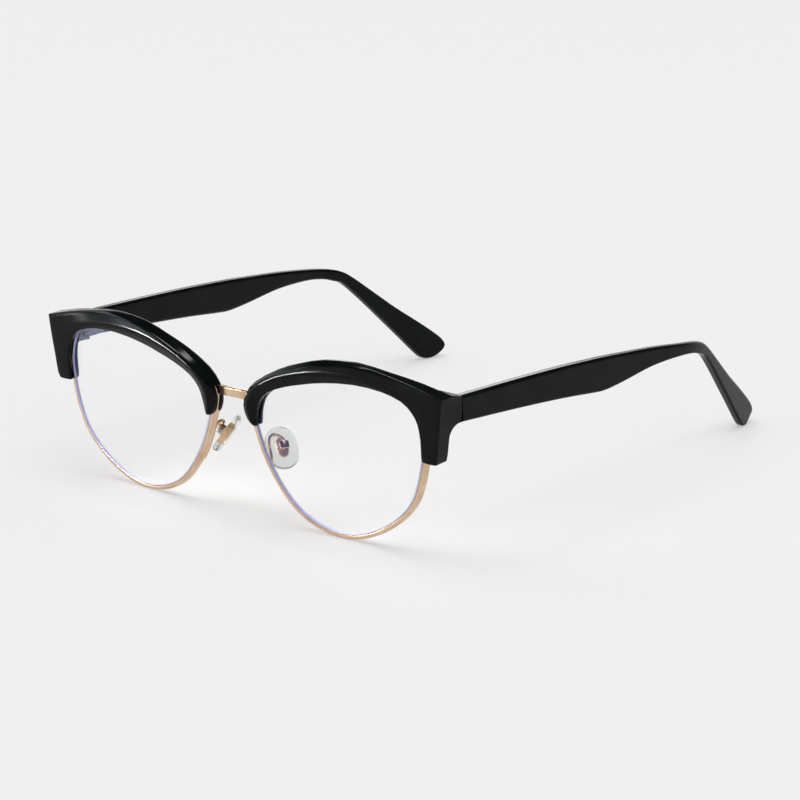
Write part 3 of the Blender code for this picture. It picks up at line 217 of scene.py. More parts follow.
LENS_HALF = Vector((LENS_WIDTH / 2, LENS_HEIGHT / 2))
RIM_OFFSET = BRIDGE_GAP / 2 + LENS_WIDTH / 2
RIM_SETBACK = BROW_FRONT_DEPTH * BROW_DEPTH_SHARES[BROW_CORNER_STATION][3]
FRONT_HALF = RIM_OFFSET + LENS_WIDTH / 2 + END_WIDTH
TEMPLE_OUTER = FRONT_HALF - TEMPLE_OUTSET
END_INNER = RIM_OFFSET + LENS_WIDTH / 2 + END_INNER_WIDTH

# Doubles nearer than this are one vertex, in cut meshes and in CAD nodes; how flat and how sharp a
# CAD node's edge is to be dissolved or eased, and by how much; nearness to a plane
MERGE_GAP, CAD_MERGE_GAP, CAD_EASE, ON_PLANE = mm(0.0005, 0.002, 0.07, 0.01)
CAD_FLAT_ANGLE, CAD_SHARP_ANGLE = math.radians(0.5), math.radians(32.0)
BROW_SHARP_ANGLE = math.radians(20.0)
EVEN_WEIGHT = 80

# The photograph's camera: place in the part's frame; yaw, pitch and roll; focal length as a share
# of the frame's width
CAMERA_PLACE = (0.6441, -0.71823, 0.2992)
CAMERA_TURN = (math.radians(42.189), math.radians(16.490), math.radians(-1.827))
CAMERA_FOCAL_SHARE = 3750.0 / 800.0
SENSOR_WIDTH = 36.0
CLIP_RANGE = (0.02, 30.0)

# Stage in metres and watts. The ceiling lights the floor and the object and shows in no gloss; the
# panels show in gloss: name, place, width and height, power and colour
FLOOR_RADIUS, FLOOR_SIDES, FLOOR_EVEN_SHARE = 6.0, 64, 0.5
ROOM_RISE, FILL_STRENGTH = (0.12, 0.5), 0.56
CEILING = ("ceiling_bar", (0.0, -0.07, 4.0), (4.5, 2.4), 91.0)
CEILING_AIM, PANEL_AIM = (0.0, -0.07, 0.0), (0.0, 0.0, 0.04)
PANELS = (
    ("low_strip", (-0.706, -0.776, 0.032), (0.3, 0.052), 12.0),
    ("left_panel", (-0.766, -0.713, 0.18), (0.25, 0.19), 0.6, "#D8EAF2"),
    ("side_panel", (-0.855, -0.348, 0.482), (0.45, 0.26), 1.8, "#D8EAF2"),
    ("upper_panel", (-0.468, -0.589, 1.08), (0.3, 0.3), 9.0),
    ("overhead", (-0.16, -0.21, 1.25), (0.16, 0.16), 1.8),
    ("rear_panel", (-0.77, 0.92, 0.35), (0.4, 0.16), 0.6),
)

# Sockets of a Mix node that mixes colours
MIX_FACTOR, MIX_FIRST, MIX_SECOND, MIX_RESULT = 0, 6, 7, 2


def linear(code):
    """The linear colour of an sRGB hex code."""
    channels = [int(code[i:i + 2], 16) / 255.0 for i in (1, 3, 5)]
    return tuple(c / 12.92 if c <= 0.04045 else ((c + 0.055) / 1.055) ** 2.4 for c in channels)


class EyeglassSizes(bpy.types.PropertyGroup):
    """Sizes of the visible detail that a user may change."""

    wire_height: FloatProperty(
        name="Eyewire Height", description="How far the eyewire stands out from the lens edge",
        default=1.1 * MM, min=0.5 * MM, max=2.0 * MM, unit="LENGTH", precision=5)
    wire_depth: FloatProperty(
        name="Eyewire Depth", description="Front to back size of the eyewire",
        default=1.9 * MM, min=1.0 * MM, max=3.0 * MM, unit="LENGTH", precision=5)
    brow_rounding: FloatProperty(
        name="Brow Rounding", description="Radius on the brow's creases and edges",
        default=0.4 * MM, min=0.1 * MM, max=0.4 * MM, unit="LENGTH", precision=5)
    temple_rounding: FloatProperty(
        name="Temple Rounding", description="Radius on the temple's four long edges",
        default=1.15 * MM, min=0.2 * MM, max=1.3 * MM, unit="LENGTH", precision=5)
    temple_thickness: FloatProperty(
        name="Temple Thickness", description="Thickness of a temple at the front",
        default=3.4 * MM, min=2.0 * MM, max=3.4 * MM, unit="LENGTH", precision=5)
    tip_thickness: FloatProperty(
        name="Tip Thickness", description="Thickness of a temple at its tip",
        default=2.8 * MM, min=1.6 * MM, max=3.2 * MM, unit="LENGTH", precision=5)
    pad_length: FloatProperty(
        name="Pad Length", description="Length of a nose pad",
        default=11.4 * MM, min=8.0 * MM, max=11.4 * MM, unit="LENGTH", precision=5)
    pad_width: FloatProperty(
        name="Pad Width", description="Width of a nose pad",
        default=8.6 * MM, min=6.0 * MM, max=8.6 * MM, unit="LENGTH", precision=5)
    fit: FloatProperty(
        name="Fit", description="Gap that shows between a seated piece and its seat",
        default=0.1 * MM, min=0.05 * MM, max=0.3 * MM, unit="LENGTH", precision=5)


class EyeglassColours(bpy.types.PropertyGroup):
    """Colours that a user may change."""

    acetate: FloatVectorProperty(
        name="Acetate", description="Dyed acetate of the brows and temples", subtype="COLOR",
        size=3, default=linear("#070808"), min=0.0, max=1.0)
    acetate_haze: FloatVectorProperty(
        name="Acetate Cloud", description="Paler clouds in the dyed acetate", subtype="COLOR",
        size=3, default=linear("#0E1112"), min=0.0, max=1.0)
    plating: FloatVectorProperty(
        name="Rose Gold Plating", description="Plating of the eyewires, bridge and pad arms",
        subtype="COLOR", size=3, default=linear("#D9BC9F"), min=0.0, max=1.0)
    lens: FloatVectorProperty(
        name="Lens", description="Colour of the clear lens resin", subtype="COLOR",
        size=3, default=linear("#FFFFFF"), min=0.0, max=1.0)
    lens_coat: FloatVectorProperty(
        name="Lens Coating", description="Colour that the lens coating reflects", subtype="COLOR",
        size=3, default=linear("#5A62FF"), min=0.0, max=1.0)
    # The lens edge's lilac is a painted reflection of the coating's colour
    lens_edge: FloatVectorProperty(
        name="Lens Edge", description="Ground edge of the lens", subtype="COLOR",
        size=3, default=linear("#CCCFF8"), min=0.0, max=1.0)
    silicone: FloatVectorProperty(
        name="Pad Silicone", description="Clear silicone of the nose pads", subtype="COLOR",
        size=3, default=linear("#E8EBE8"), min=0.0, max=1.0)
    insert: FloatVectorProperty(
        name="Pad Insert", description="Plated insert inside a nose pad", subtype="COLOR",
        size=3, default=linear("#EBBE8C"), min=0.0, max=1.0)
    floor: FloatVectorProperty(
        name="Floor", description="Pale studio floor", subtype="COLOR",
        size=3, default=linear("#EFEFEF"), min=0.0, max=1.0)


# Curves and frames

def blend_rows(before, start, end, after, share):
    """A smooth step from start to end, whose direction follows the rows before and after."""
    square, cube = share * share, share ** 3
    weights = (
        (2 * square - cube - share) / 2, (3 * cube - 5 * square + 2) / 2,
        (share + 4 * square - 3 * cube) / 2, (cube - square) / 2)
    return sum((w * Vector(row) for w, row in zip(weights, (before, start, end, after))),
               Vector(start) * 0)


def smooth_rows(rows, steps, closed=False):
    """Rows of values with steps smooth intervals between each two."""
    count = len(rows)
    result = []
    for i in range(count if closed else count - 1):
        if closed:
            near = [rows[(i + k) % count] for k in (-1, 0, 1, 2)]
        else:
            near = [rows[min(max(i + k, 0), count - 1)] for k in (-1, 0, 1, 2)]
        result += [blend_rows(*near, step / steps) for step in range(steps)]
    return result if closed else result + [Vector(rows[-1])]


def rim_matrix():
    """Left rim plane in the part's frame, wrapped and tilted about its centre."""
    setback = (END_WIDTH + LENS_WIDTH / 2) * math.sin(WRAP_ANGLE)
    level = LENS_HEIGHT / 2 + bpy.context.scene.eyeglass_sizes.wire_height
    place = Matrix.Translation((RIM_OFFSET, RIM_SETBACK - setback + FRONT_SETBACK, level))
    wrap = Matrix.Rotation(WRAP_ANGLE, 4, "Z")
    tilt = Matrix.Rotation(QUARTER_TURN + TILT_ANGLE, 4, "X")
    return place @ wrap @ tilt


def pad_matrix():
    """The pad mount's frame: x along the pad's width, y along its length and z towards the nose."""
    splay, frontal = PAD_SPLAY_ANGLE, PAD_FRONTAL_ANGLE
    aside, ahead = -math.cos(frontal), math.sin(frontal)
    length = Vector((math.sin(splay) * aside, math.sin(splay) * ahead, math.cos(splay)))
    normal = Vector((math.cos(splay) * aside, math.cos(splay) * ahead, -math.sin(splay)))
    turn = Matrix((length.cross(normal), length, normal)).transposed().to_4x4()
    return Matrix.Translation(set_back(MOUNT_PLACE)) @ turn


def set_back(place):
    """A place measured from the front, in the part's frame."""
    return Vector(place) + Vector((0, FRONT_SETBACK, 0))


def lens_path(count):
    """Evenly spaced points on the lens outline, anticlockwise as seen from the front."""
    knots = [(x * LENS_HALF.x, y * LENS_HALF.y) for x, y in LENS_OUTLINE_SHARES]
    fine = smooth_rows(knots, count, closed=True)
    spans = [(b - a).length for a, b in zip(fine, fine[1:] + fine[:1])]
    total, walked, path = sum(spans), 0, []
    for point, span in zip(fine, spans):
        if walked >= len(path) * total / count:
            path.append(point)
        walked += span
    return path[:count]


def offset_path(path, distance):
    """The closed path moved outwards by a distance."""
    moved = []
    for i, point in enumerate(path):
        along = path[(i + 1) % len(path)] - path[i - 1]
        moved.append(point + Vector((along.y, -along.x)).normalized() * distance)
    return moved


def rim_sag(x, y):
    """How far the curved lens lies ahead of the rim plane."""
    edge = (LENS_HALF.x + LENS_HALF.y) / 2
    return (edge * edge - x * x - y * y) / (2 * LENS_CURVE_RADIUS)


def on_rim(points, depth=0.0):
    return [Vector((p.x, p.y, rim_sag(p.x, p.y) + depth)) for p in points]


def outline_at(level, side, distance=0.0):
    """Where the lens outline, moved outwards by a distance, passes a level on side 1 or -1."""
    path = [p for p in offset_path(lens_path(OUTLINE_POINTS), distance) if p.x * side > 0]
    above = min((p for p in path if p.y >= level), key=lambda p: p.y)
    below = max((p for p in path if p.y < level), key=lambda p: p.y)
    return below.lerp(above, (level - below.y) / (above.y - below.y)).x


# Mesh steps

def ring_edges(bm, ring):
    return [bm.edges.get(pair) for pair in zip(ring, ring[1:] + ring[:1])]


def carry_ring(bm, ring, points):
    """Extrudes a ring of vertices and moves the new ones to points."""
    made = bmesh.ops.extrude_edge_only(bm, edges=ring_edges(bm, ring))["geom"]
    fresh = {item for item in made if isinstance(item, bmesh.types.BMVert)}
    result = []
    for vert, point in zip(ring, points):
        twin = next(e.other_vert(vert) for e in vert.link_edges if e.other_vert(vert) in fresh)
        twin.co = point
        result.append(twin)
    return result


def loft(rings, closed=False):
    """A mesh of one body carried through rings of equally many points, and the rings' vertices."""
    bm = bmesh.new()
    first = [bm.verts.new(point) for point in rings[0]]
    for pair in zip(first, first[1:] + first[:1]):
        bm.edges.new(pair)
    last, made = first, [first]
    for points in rings[1:]:
        last = carry_ring(bm, last, points)
        made.append(last)
    if closed:
        bmesh.ops.bridge_loops(bm, edges=ring_edges(bm, first) + ring_edges(bm, last))
    else:
        for ring in (first, last):
            bmesh.ops.contextual_create(bm, geom=ring_edges(bm, ring))
    bmesh.ops.recalc_face_normals(bm, faces=bm.faces)
    return bm, made


def sharp_edges(bm, angle):
    return [e for e in bm.edges if len(e.link_faces) == 2 and e.calc_face_angle(0) > angle]


def bevel(bm, edges, width, segments=2):
    """Rounds edges and returns the new faces."""
    return bmesh.ops.bevel(
        bm, geom=edges, offset=width, offset_type="OFFSET", segments=segments, profile=0.5,
        affect="EDGES", material=-1, clamp_overlap=True)["faces"]


def box_mesh(low, high, matrix=Matrix()):
    low, high = Vector(low), Vector(high)
    bm = bmesh.new()
    size = Matrix.Diagonal((*(high - low), 1.0))
    bmesh.ops.create_cube(bm, size=1.0, matrix=Matrix.Translation((low + high) / 2) @ size)
    bm.transform(matrix)
    return bm


def cylinder_mesh(radius, start, end, sides, matrix=Matrix()):
    start, end = Vector(start), Vector(end)
    bm = bmesh.new()
    bmesh.ops.create_cone(
        bm, cap_ends=True, segments=sides, radius1=radius, radius2=radius,
        depth=(end - start).length)
    turn = (end - start).to_track_quat("Z", "Y").to_matrix().to_4x4()
    bm.transform(Matrix.Translation((start + end) / 2) @ turn)
    bm.transform(matrix)
    return bm


def circle(centre, side, up, radius, sides):
    """Points evenly round a centre, in the plane of two directions."""
    return [centre + (side * math.cos(a) + up * math.sin(a)) * radius
            for a in (math.tau * k / sides for k in range(sides))]


def tangents(points):
    last = len(points) - 1
    return [(points[min(i + 1, last)] - points[max(i - 1, 0)]).normalized()
            for i in range(len(points))]


def wire_mesh(points, radius, sides):
    """A round wire along points, with domed ends."""
    ways = tangents(points)
    side = ways[0].orthogonal().normalized()
    rings = []
    for index, (point, along) in enumerate(zip(points, ways)):
        side = (side - along * side.dot(along)).normalized()
        stations = ((0.0, 1.0),)
        if index == 0:
            stations = ((-DOME_REACH, DOME_TOP), (0.0, DOME_FOOT))
        elif index == len(points) - 1:
            stations = ((0.0, DOME_FOOT), (DOME_REACH, DOME_TOP))
        for shift, share in stations:
            centre = point + along * radius * shift
            rings.append(circle(centre, side, along.cross(side), radius * share, sides))
    return loft(rings)[0]


def to_mesh(name, bm):
    mesh = bpy.data.meshes.new(name)
    bm.to_mesh(mesh)
    bm.free()
    return mesh


def cut(bm, cutters, operation="DIFFERENCE"):
    """The mesh after a row of cuts, or joins, with other meshes."""
    scene = bpy.context.scene
    target = bpy.data.objects.new("cut_target", to_mesh("cut_target", bm))
    scene.collection.objects.link(target)
    tools = []
    for tool_mesh in cutters:
        tool = bpy.data.objects.new("cut_tool", to_mesh("cut_tool", tool_mesh))
        scene.collection.objects.link(tool)
        modifier = target.modifiers.new("cut", "BOOLEAN")
        modifier.operation = operation
        modifier.solver = "EXACT"
        modifier.object = tool
        tools.append(tool)
    bpy.context.view_layer.update()
    graph = bpy.context.evaluated_depsgraph_get()
    mesh = bpy.data.meshes.new_from_object(target.evaluated_get(graph))
    result = bmesh.new()
    result.from_mesh(mesh)
    bmesh.ops.remove_doubles(result, verts=result.verts, dist=MERGE_GAP)
    for item in [target, *tools]:
        data = item.data
        bpy.data.objects.remove(item)
        bpy.data.meshes.remove(data)
    bpy.data.meshes.remove(mesh)
    return result


def mirrored(bm):
    """A right-hand copy of a left-hand mesh."""
    twin = bm.copy()
    bmesh.ops.scale(twin, vec=(-1, 1, 1), verts=twin.verts)
    bmesh.ops.reverse_faces(twin, faces=twin.faces)
    return twin


def place_piece(name, bm, looks, body, node, smooth):
    """Makes a finished mesh an object that rides on a body and stands for its CAD node."""
    piece = bpy.data.objects.new(name, to_mesh(name, bm))
    for look in looks:
        piece.data.materials.append(finish(look))
    piece.data.shade_smooth()
    piece.data.set_sharp_from_angle(angle=math.radians(smooth))
    even = piece.modifiers.new("even_normals", "WEIGHTED_NORMAL")
    even.keep_sharp = True
    even.weight = EVEN_WEIGHT
    bpy.context.scene.collection.objects.link(piece)
    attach(piece, body)
    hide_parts(node)


def place_pair(node, bm, looks, body, smooth=35.0, name=None):
    """Places a left-hand mesh and its mirror image; names and bodies take the side's name."""
    twin = mirrored(bm)
    for side, mesh in zip(SIDES, (bm, twin)):
        place_piece(f"{name or node}_piece_{side}", mesh, looks, body.replace("left", side),
                    f"{node}_{side}", smooth)


# Finishes

def add_node(tree, kind, inputs=None, settings=None):
    """Adds a node; an input is the socket that feeds it or a plain value, also a colour."""
    node = tree.nodes.new("ShaderNode" + kind)
    for key, value in (settings or {}).items():
        setattr(node, key, value)
    for key, value in (inputs or {}).items():
        socket = node.inputs[key]
        if isinstance(value, bpy.types.NodeSocket):
            tree.links.new(value, socket)
        elif socket.type == "RGBA":
            socket.default_value = (*value, 1.0)
        else:
            socket.default_value = value
    return node


def new_finish(name):
    """A new material, its emptied tree, its output and the Object coordinates."""
    material = bpy.data.materials.new(name)
    material.use_nodes = True
    tree = material.node_tree
    tree.nodes.clear()
    output = add_node(tree, "OutputMaterial")
    place = add_node(tree, "TexCoord").outputs["Object"]
    return material, tree, output, place


def toned(colour, *shares):
    """A colour with its channels scaled, by one share or by one each."""
    return tuple(c * share for c, share in zip(colour, shares * 3))


def polished_acetate(colours):
    """Cellulose acetate sheet, milled and tumble polished: near black with faint clouds of dye, a
    slow ripple left by the tumbling, and hairline marks from wiping that catch the light."""
    material, tree, output, place = new_finish("polished_acetate")
    cloud = add_node(tree, "TexNoise", {"Vector": place, "Scale": 1 / (6 * MM), "Detail": 3.0})
    density = add_node(tree, "MapRange", {
        "Value": cloud.outputs[0], "From Min": 0.35, "From Max": 0.7})
    colour = add_node(tree, "Mix", {
        MIX_FACTOR: density.outputs[0], MIX_FIRST: colours.acetate,
        MIX_SECOND: colours.acetate_haze}, {"data_type": "RGBA"})
    ripple = add_node(tree, "TexNoise", {"Vector": place, "Scale": 1 / (2.5 * MM), "Detail": 1.0})
    stretched = add_node(tree, "Mapping", {
        "Vector": place, "Scale": (1.0, 0.12, 1.0), "Rotation": (0.3, 0.2, 0.6)})
    wiped = add_node(tree, "TexNoise", {
        "Vector": stretched.outputs[0], "Scale": 1 / (0.35 * MM), "Detail": 2.0})
    rough = add_node(tree, "MapRange", {
        "Value": wiped.outputs[0], "From Min": 0.5, "From Max": 0.75,
        "To Min": 0.12, "To Max": 0.17})
    soft = add_node(tree, "Bump", {
        "Height": ripple.outputs[0], "Strength": 0.15, "Distance": 0.015 * MM})
    fine = add_node(tree, "Bump", {
        "Height": wiped.outputs[0], "Strength": 0.12, "Distance": 0.0015 * MM,
        "Normal": soft.outputs[0]})
    shader = add_node(tree, "BsdfPrincipled", {
        "Base Color": colour.outputs[MIX_RESULT], "Roughness": rough.outputs[0], "IOR": 1.2,
        "Normal": fine.outputs[0]})
    tree.links.new(shader.outputs[0], output.inputs[0])
    return material


def grained(name, tones, grain, detail=2.0, patches=None, span=None, rough=None, relief=None,
            look=None, passed=None):
    """A material whose grain, of a real size, gives its roughness and relief and mixes its two
    tones, unless patches of a larger size mix them. A look holds the shader's even values, and
    passed is the tint of the light that goes through to the floor."""
    material, tree, output, place = new_finish(name)
    marks = mixer = add_node(tree, "TexNoise", {
        "Vector": place, "Scale": 1 / grain, "Detail": detail})
    if patches:
        mixer = add_node(tree, "TexNoise", {"Vector": place, "Scale": 1 / patches, "Detail": 2.0})
    if span:
        mixer = add_node(tree, "MapRange", {
            "Value": mixer.outputs[0], "From Min": span[0], "From Max": span[1]})
    colour = add_node(tree, "Mix", {
        MIX_FACTOR: mixer.outputs[0], MIX_FIRST: tones[0], MIX_SECOND: tones[1]},
        {"data_type": "RGBA"})
    values = {"Base Color": colour.outputs[MIX_RESULT], **(look or {})}
    if rough:
        values["Roughness"] = add_node(tree, "MapRange", {
            "Value": marks.outputs[0], "To Min": rough[0], "To Max": rough[1]}).outputs[0]
    if relief:
        values["Normal"] = add_node(tree, "Bump", {
            "Height": marks.outputs[0], "Strength": relief[0], "Distance": relief[1]}).outputs[0]
    shader = add_node(tree, "BsdfPrincipled", values)
    if passed:
        shader = add_node(tree, "MixShader", {
            0: add_node(tree, "LightPath").outputs["Is Shadow Ray"], 1: shader.outputs[0],
            2: add_node(tree, "BsdfTransparent", {"Color": passed}).outputs[0]})
    tree.links.new(shader.outputs[0], output.inputs[0])
    return material


def ground_resin(tint):
    """Lens resin where a wheel has ground it: translucent and finely gritty, and tinted lilac as a
    painted reflection of the coating's colour."""
    return {"tones": (tint, toned(tint, 0.82, 0.82, 0.96)), "grain": 0.12 * MM, "span": (0.4, 0.8),
            "rough": (0.3, 0.5), "look": {"IOR": 1.5}}


def turned_metal(colour, grain, low, high):
    """A turned or stamped metal: its tool marks are a fine grain that breaks the gloss."""
    return {"tones": (colour, toned(colour, 0.8)), "grain": grain, "detail": 3.0,
            "span": (0.35, 0.75), "rough": (low, high), "relief": (0.3, 0.004 * MM),
            "look": {"Metallic": 1.0}}


def grained_finishes(colours):
    """What each grained finish is made of."""
    return {
        # Acetate where the mitre was sawn and only its rim eased: matt with fine saw marks, and
        # painted grey as a painted highlight of the light line along the mitre
        "sawn_acetate_painted_highlight": {
            "tones": (linear("#4A4C4E"), linear("#303234")), "grain": 0.2 * MM,
            "relief": (0.4, 0.01 * MM), "look": {"Roughness": 0.55, "IOR": 1.48}},
        # Nickel silver wire, drawn and polished, then plated in rose gold: a warm satin mirror with
        # fine draw lines and a slightly deeper tone where the plating is thin
        "rose_gold_plating": {
            "tones": (colours.plating, toned(colours.plating, 0.82, 0.74, 0.68)),
            "grain": 0.18 * MM, "patches": 5 * MM, "span": (0.4, 0.72), "rough": (0.1, 0.24),
            "relief": (0.2, 0.004 * MM), "look": {"Metallic": 1.0}},
        # Clear lens resin, ground and polished, with a coating that reflects violet blue light, so
        # dark things behind it turn blue and pale ones stay as they are
        "coated_lens": {
            "tones": (colours.lens, toned(colours.lens, 0.997)), "grain": 18 * MM, "detail": 1.0,
            "look": {"Roughness": 0.0, "IOR": 1.6, "Transmission Weight": 1.0,
                     "Specular Tint": colours.lens_coat, "Specular IOR Level": 0.9},
            "passed": linear("#FFFFFF")},
        # The lilac tints of the ground edge and the chamfer are painted reflections of the coating
        "ground_lens_edge": ground_resin(tuple(colours.lens_edge)),
        "lens_chamfer": ground_resin(linear("#E6E3F4")),
        # Clear silicone moulded over its insert: soft and see-through, with a little milk in its
        # body and a faint matt skin
        "moulded_silicone": {
            "tones": (colours.silicone, toned(colours.silicone, 0.96)), "grain": 0.5 * MM,
            "rough": (0.06, 0.16), "relief": (0.2, 0.01 * MM),
            "look": {"IOR": 1.41, "Transmission Weight": 0.9}, "passed": linear("#E6EAE6")},
        # Nickel silver in the groove, painted dark navy: painted shade in the groove and a painted
        # reflection of the lens coating's blue
        "groove_painted_shade_and_reflection": turned_metal(linear("#3C3E68"), 0.2 * MM, 0.3, 0.45),
        # Brass plate, stamped and plated in gold: a warm, dull gleam through the silicone
        "plated_insert": turned_metal(tuple(colours.insert), 0.4 * MM, 0.3, 0.48),
        # Nickel silver, stamped and tumbled: a satin grey, as on hinge leaves and core wires
        "nickel_silver": turned_metal(linear("#76787E"), 0.25 * MM, 0.25, 0.4),
        # Stainless steel, turned: bright, with a gloss that the tool's fine marks break
        "turned_steel": turned_metal(linear("#BFC0C4"), 0.15 * MM, 0.14, 0.3),
    }


def finish(name):
    """A finish by name, made once."""
    made = bpy.data.materials.get(name)
    if made:
        return made
    colours = bpy.context.scene.eyeglass_colours
    if name == "polished_acetate":
        return polished_acetate(colours)
    return grained(name, **grained_finishes(colours)[name])


# The brow

def brow_stations():
    """Edge points, crease and step shares and depths of every brow section."""
    rows = []
    for (ix, iy, ox, oy, *marks), depths in zip(BROW_STATION_SHARES, BROW_DEPTH_SHARES):
        inner = (ix * LENS_HALF.x, iy * LENS_HALF.y)
        outer = (inner[0] + ox * END_WIDTH, inner[1] + oy * BROW_HEIGHT)
        rows.append((*inner, *outer, *marks, *depths))
    whole = smooth_rows(rows, BROW_STEPS)
    corner = BROW_CORNER_STATION
    parts = smooth_rows(rows[:corner + 1], BROW_STEPS)[:-1] + smooth_rows(rows[corner:], BROW_STEPS)
    for row, part in zip(whole, parts):
        row[2:4] = part[2:4]
    return whole


def brow_ring(row):
    """The section's points: inner back and front, two creases, outer front and back, step."""
    inner, outer = Vector(row[0:2]), Vector(row[2:4])
    lower, upper, step = row[4:7]
    ahead = [share * BROW_FRONT_DEPTH for share in row[7:11]]
    edge, back = (-share * BROW_REAR_DEPTH for share in row[11:13])
    places = (
        (0, back), (0, ahead[0]), (lower, ahead[1]), (upper, ahead[2]), (1, ahead[3]), (1, edge),
        (step, back))
    corners = [Vector((*inner.lerp(outer, share), depth)) for share, depth in places]
    creases = rounded(corners[1:4], LOWER_CREASE) + rounded(corners[2:5], UPPER_CREASE)
    return corners[:2] + creases + corners[4:]


def rounded(corner, reach):
    """The middle one of three points as a soft turn that starts before it and ends after it."""
    before, middle, after = corner
    start = middle.lerp(before, min(CREASE_SHARE, reach / (before - middle).length))
    end = middle.lerp(after, min(CREASE_SHARE, reach / (after - middle).length))
    shares = [k / CREASE_STEPS for k in range(CREASE_STEPS + 1)]
    return [start.lerp(middle, t).lerp(middle.lerp(end, t), t) for t in shares]


def extend_end_piece(bm, rings):
    """Draws the back of the temporal stations out behind the mitre."""
    first = BROW_STEPS * (BROW_CORNER_STATION - 1) + 1
    strip = []
    for lower, upper in zip(rings[first:-1], rings[first + 1:]):
        wanted = {lower[-2], lower[-1], upper[-2], upper[-1]}
        strip += [face for face in lower[-2].link_faces if set(face.verts) == wanted]
    drawn = bmesh.ops.extrude_face_region(bm, geom=strip)
    bmesh.ops.delete(bm, geom=strip, context="FACES")
    for vert in (v for v in drawn["geom"] if isinstance(v, bmesh.types.BMVert)):
        place = vert.co - Vector((0, FRONT_SETBACK, 0))
        inside = max(min(place.x, TEMPLE_OUTER), END_INNER)
        target = Vector((inside, MITRE_DEPTH, min(place.z, END_TOP)))
        beyond = 1 + OVERRUN / (MITRE_DEPTH - place.y)
        vert.co = set_back(place.lerp(target, beyond))
    bmesh.ops.recalc_face_normals(bm, faces=bm.faces)


def end_underside():
    """The space below the end piece and behind the lobe, with its concave corner."""
    radius = LOBE_ARC_RADIUS
    corner_y, corner_z = LOBE_REAR_DEPTH + radius, END_BOTTOM - radius
    far, low = MITRE_DEPTH + OVERRUN * 2, LENS_HEIGHT / 2
    outline = [(far, END_BOTTOM)]
    for i in range(LOBE_STEPS + 1):
        angle = QUARTER_TURN * (1 + i / LOBE_STEPS)
        outline.append((corner_y + radius * math.cos(angle), corner_z + radius * math.sin(angle)))
    outline += [(LOBE_REAR_DEPTH - LOBE_GAP, low), (far, low)]
    return loft([[set_back((x, y, z)) for y, z in outline]
                 for x in (END_INNER - OVERRUN, FRONT_HALF + OVERRUN)])[0]


def wire_room(sizes):
    """The eyewire's own space and everything a little way inside it, with the fit all round."""
    half, outer = sizes.wire_depth / 2 + sizes.fit, sizes.wire_height + sizes.fit
    path = lens_path(ROOM_POINTS)
    rings = []
    for near, far in zip(offset_path(path, -BROW_HEIGHT / 2), offset_path(path, outer)):
        sag = rim_sag(near.x, near.y)
        rings.append([Vector((*p, sag + v)) for p, v in (
            (near, half), (far, half), (far, -half), (near, -half))])
    bm = loft(rings, closed=True)[0]
    bm.transform(rim_matrix())
    return bm


def lock_places(sizes):
    """How far out the rim lock stands, and the brow screw's place in the rim plane."""
    lock_x = outline_at(LOCK_LEVEL, 1, sizes.wire_height)
    return lock_x, lock_x + BROW_SCREW_OUT, LOCK_SPLIT_RISE - BROW_SCREW_DROP


def brow_cutters(sizes):
    rim = rim_matrix()
    far, near = -LENS_HALF.x - sizes.wire_height - OVERRUN, -LENS_HALF.x
    deep, high = BRIDGE_HALF_DEPTH + sizes.fit, BRIDGE_HALF_HEIGHT + sizes.fit
    lock_x, screw_x, screw_y = lock_places(sizes)
    lock = Vector((lock_x, 0, 0))
    hinge, mitre = set_back(HINGE_PLACE), MITRE_DEPTH + FRONT_SETBACK
    reach = Vector((0, 0, HINGE_STACK / 2 + BARREL_ROOM_GAP))
    leaf = HINGE_STACK / 2 + LEAF_ROOM_GAP
    return [
        box_mesh((END_INNER - OVERRUN, mitre, END_BOTTOM - BROW_HEIGHT * 2),
                 (FRONT_HALF + OVERRUN, mitre + OVERRUN * 2, END_TOP + BROW_HEIGHT)),
        end_underside(),
        wire_room(sizes),
        box_mesh((far, 0, -NOSE_SLIT), (near, BRIDGE_LEVEL, NOSE_SLIT), rim),
        box_mesh((far, BRIDGE_LEVEL - high, -deep), (near, BRIDGE_LEVEL + high, deep), rim),
        box_mesh(lock + Vector(LOCK_ROOM_LOW), lock + Vector(LOCK_ROOM_HIGH), rim),
        cylinder_mesh(BARREL_ROOM_RADIUS, hinge - reach, hinge + reach, BARREL_ROOM_SIDES),
        box_mesh((END_INNER - OVERRUN, hinge.y - LEAF_ROOM_LENGTH, hinge.z - leaf),
                 (END_INNER, hinge.y + OVERRUN, hinge.z + leaf)),
        cylinder_mesh(BROW_BORE_RADIUS, (screw_x, screw_y, -BROW_REAR_DEPTH),
                      (screw_x, screw_y, -BROW_REAR_DEPTH - OVERRUN * 2), BORE_SIDES, rim),
    ]


def faces_behind(bm, depth):
    """The flat faces at a depth behind the front."""
    return [f for f in bm.faces
            if all(abs(v.co.y - FRONT_SETBACK - depth) < ON_PLANE for v in f.verts)]


def ease_mitre(bm, depth):
    """Rounds the rim of the sawn flat face at a depth behind the front, and gives the face and its
    rim the second finish, whose grey is a painted highlight."""
    chosen = set(faces_behind(bm, depth))
    rim = [e for e in {e for f in chosen for e in f.edges}
           if len(e.link_faces) == 2 and sum(f in chosen for f in e.link_faces) == 1]
    for face in {*bevel(bm, rim, MITRE_EASE), *faces_behind(bm, depth)}:
        face.material_index = 1


class EYEGLASSES_OT_brows(bpy.types.Operator):
    """Sculpts the two brows, with their creases, grooves, slots and mitres"""

    bl_idname = "eyeglasses.brows"
    bl_label = "Brows"

    def execute(self, context):
        sizes = context.scene.eyeglass_sizes
        bm, rings = loft([brow_ring(row) for row in brow_stations()])
        bm.transform(rim_matrix())
        extend_end_piece(bm, rings)
        bevel(bm, sharp_edges(bm, BROW_SHARP_ANGLE), sizes.brow_rounding, segments=3)
        bm = cut(bm, brow_cutters(sizes))
        ease_mitre(bm, MITRE_DEPTH)
        place_pair("brow", bm, ("polished_acetate", "sawn_acetate_painted_highlight"), "front", smooth=28.0)
        return {"FINISHED"}


# Eyewires and lenses

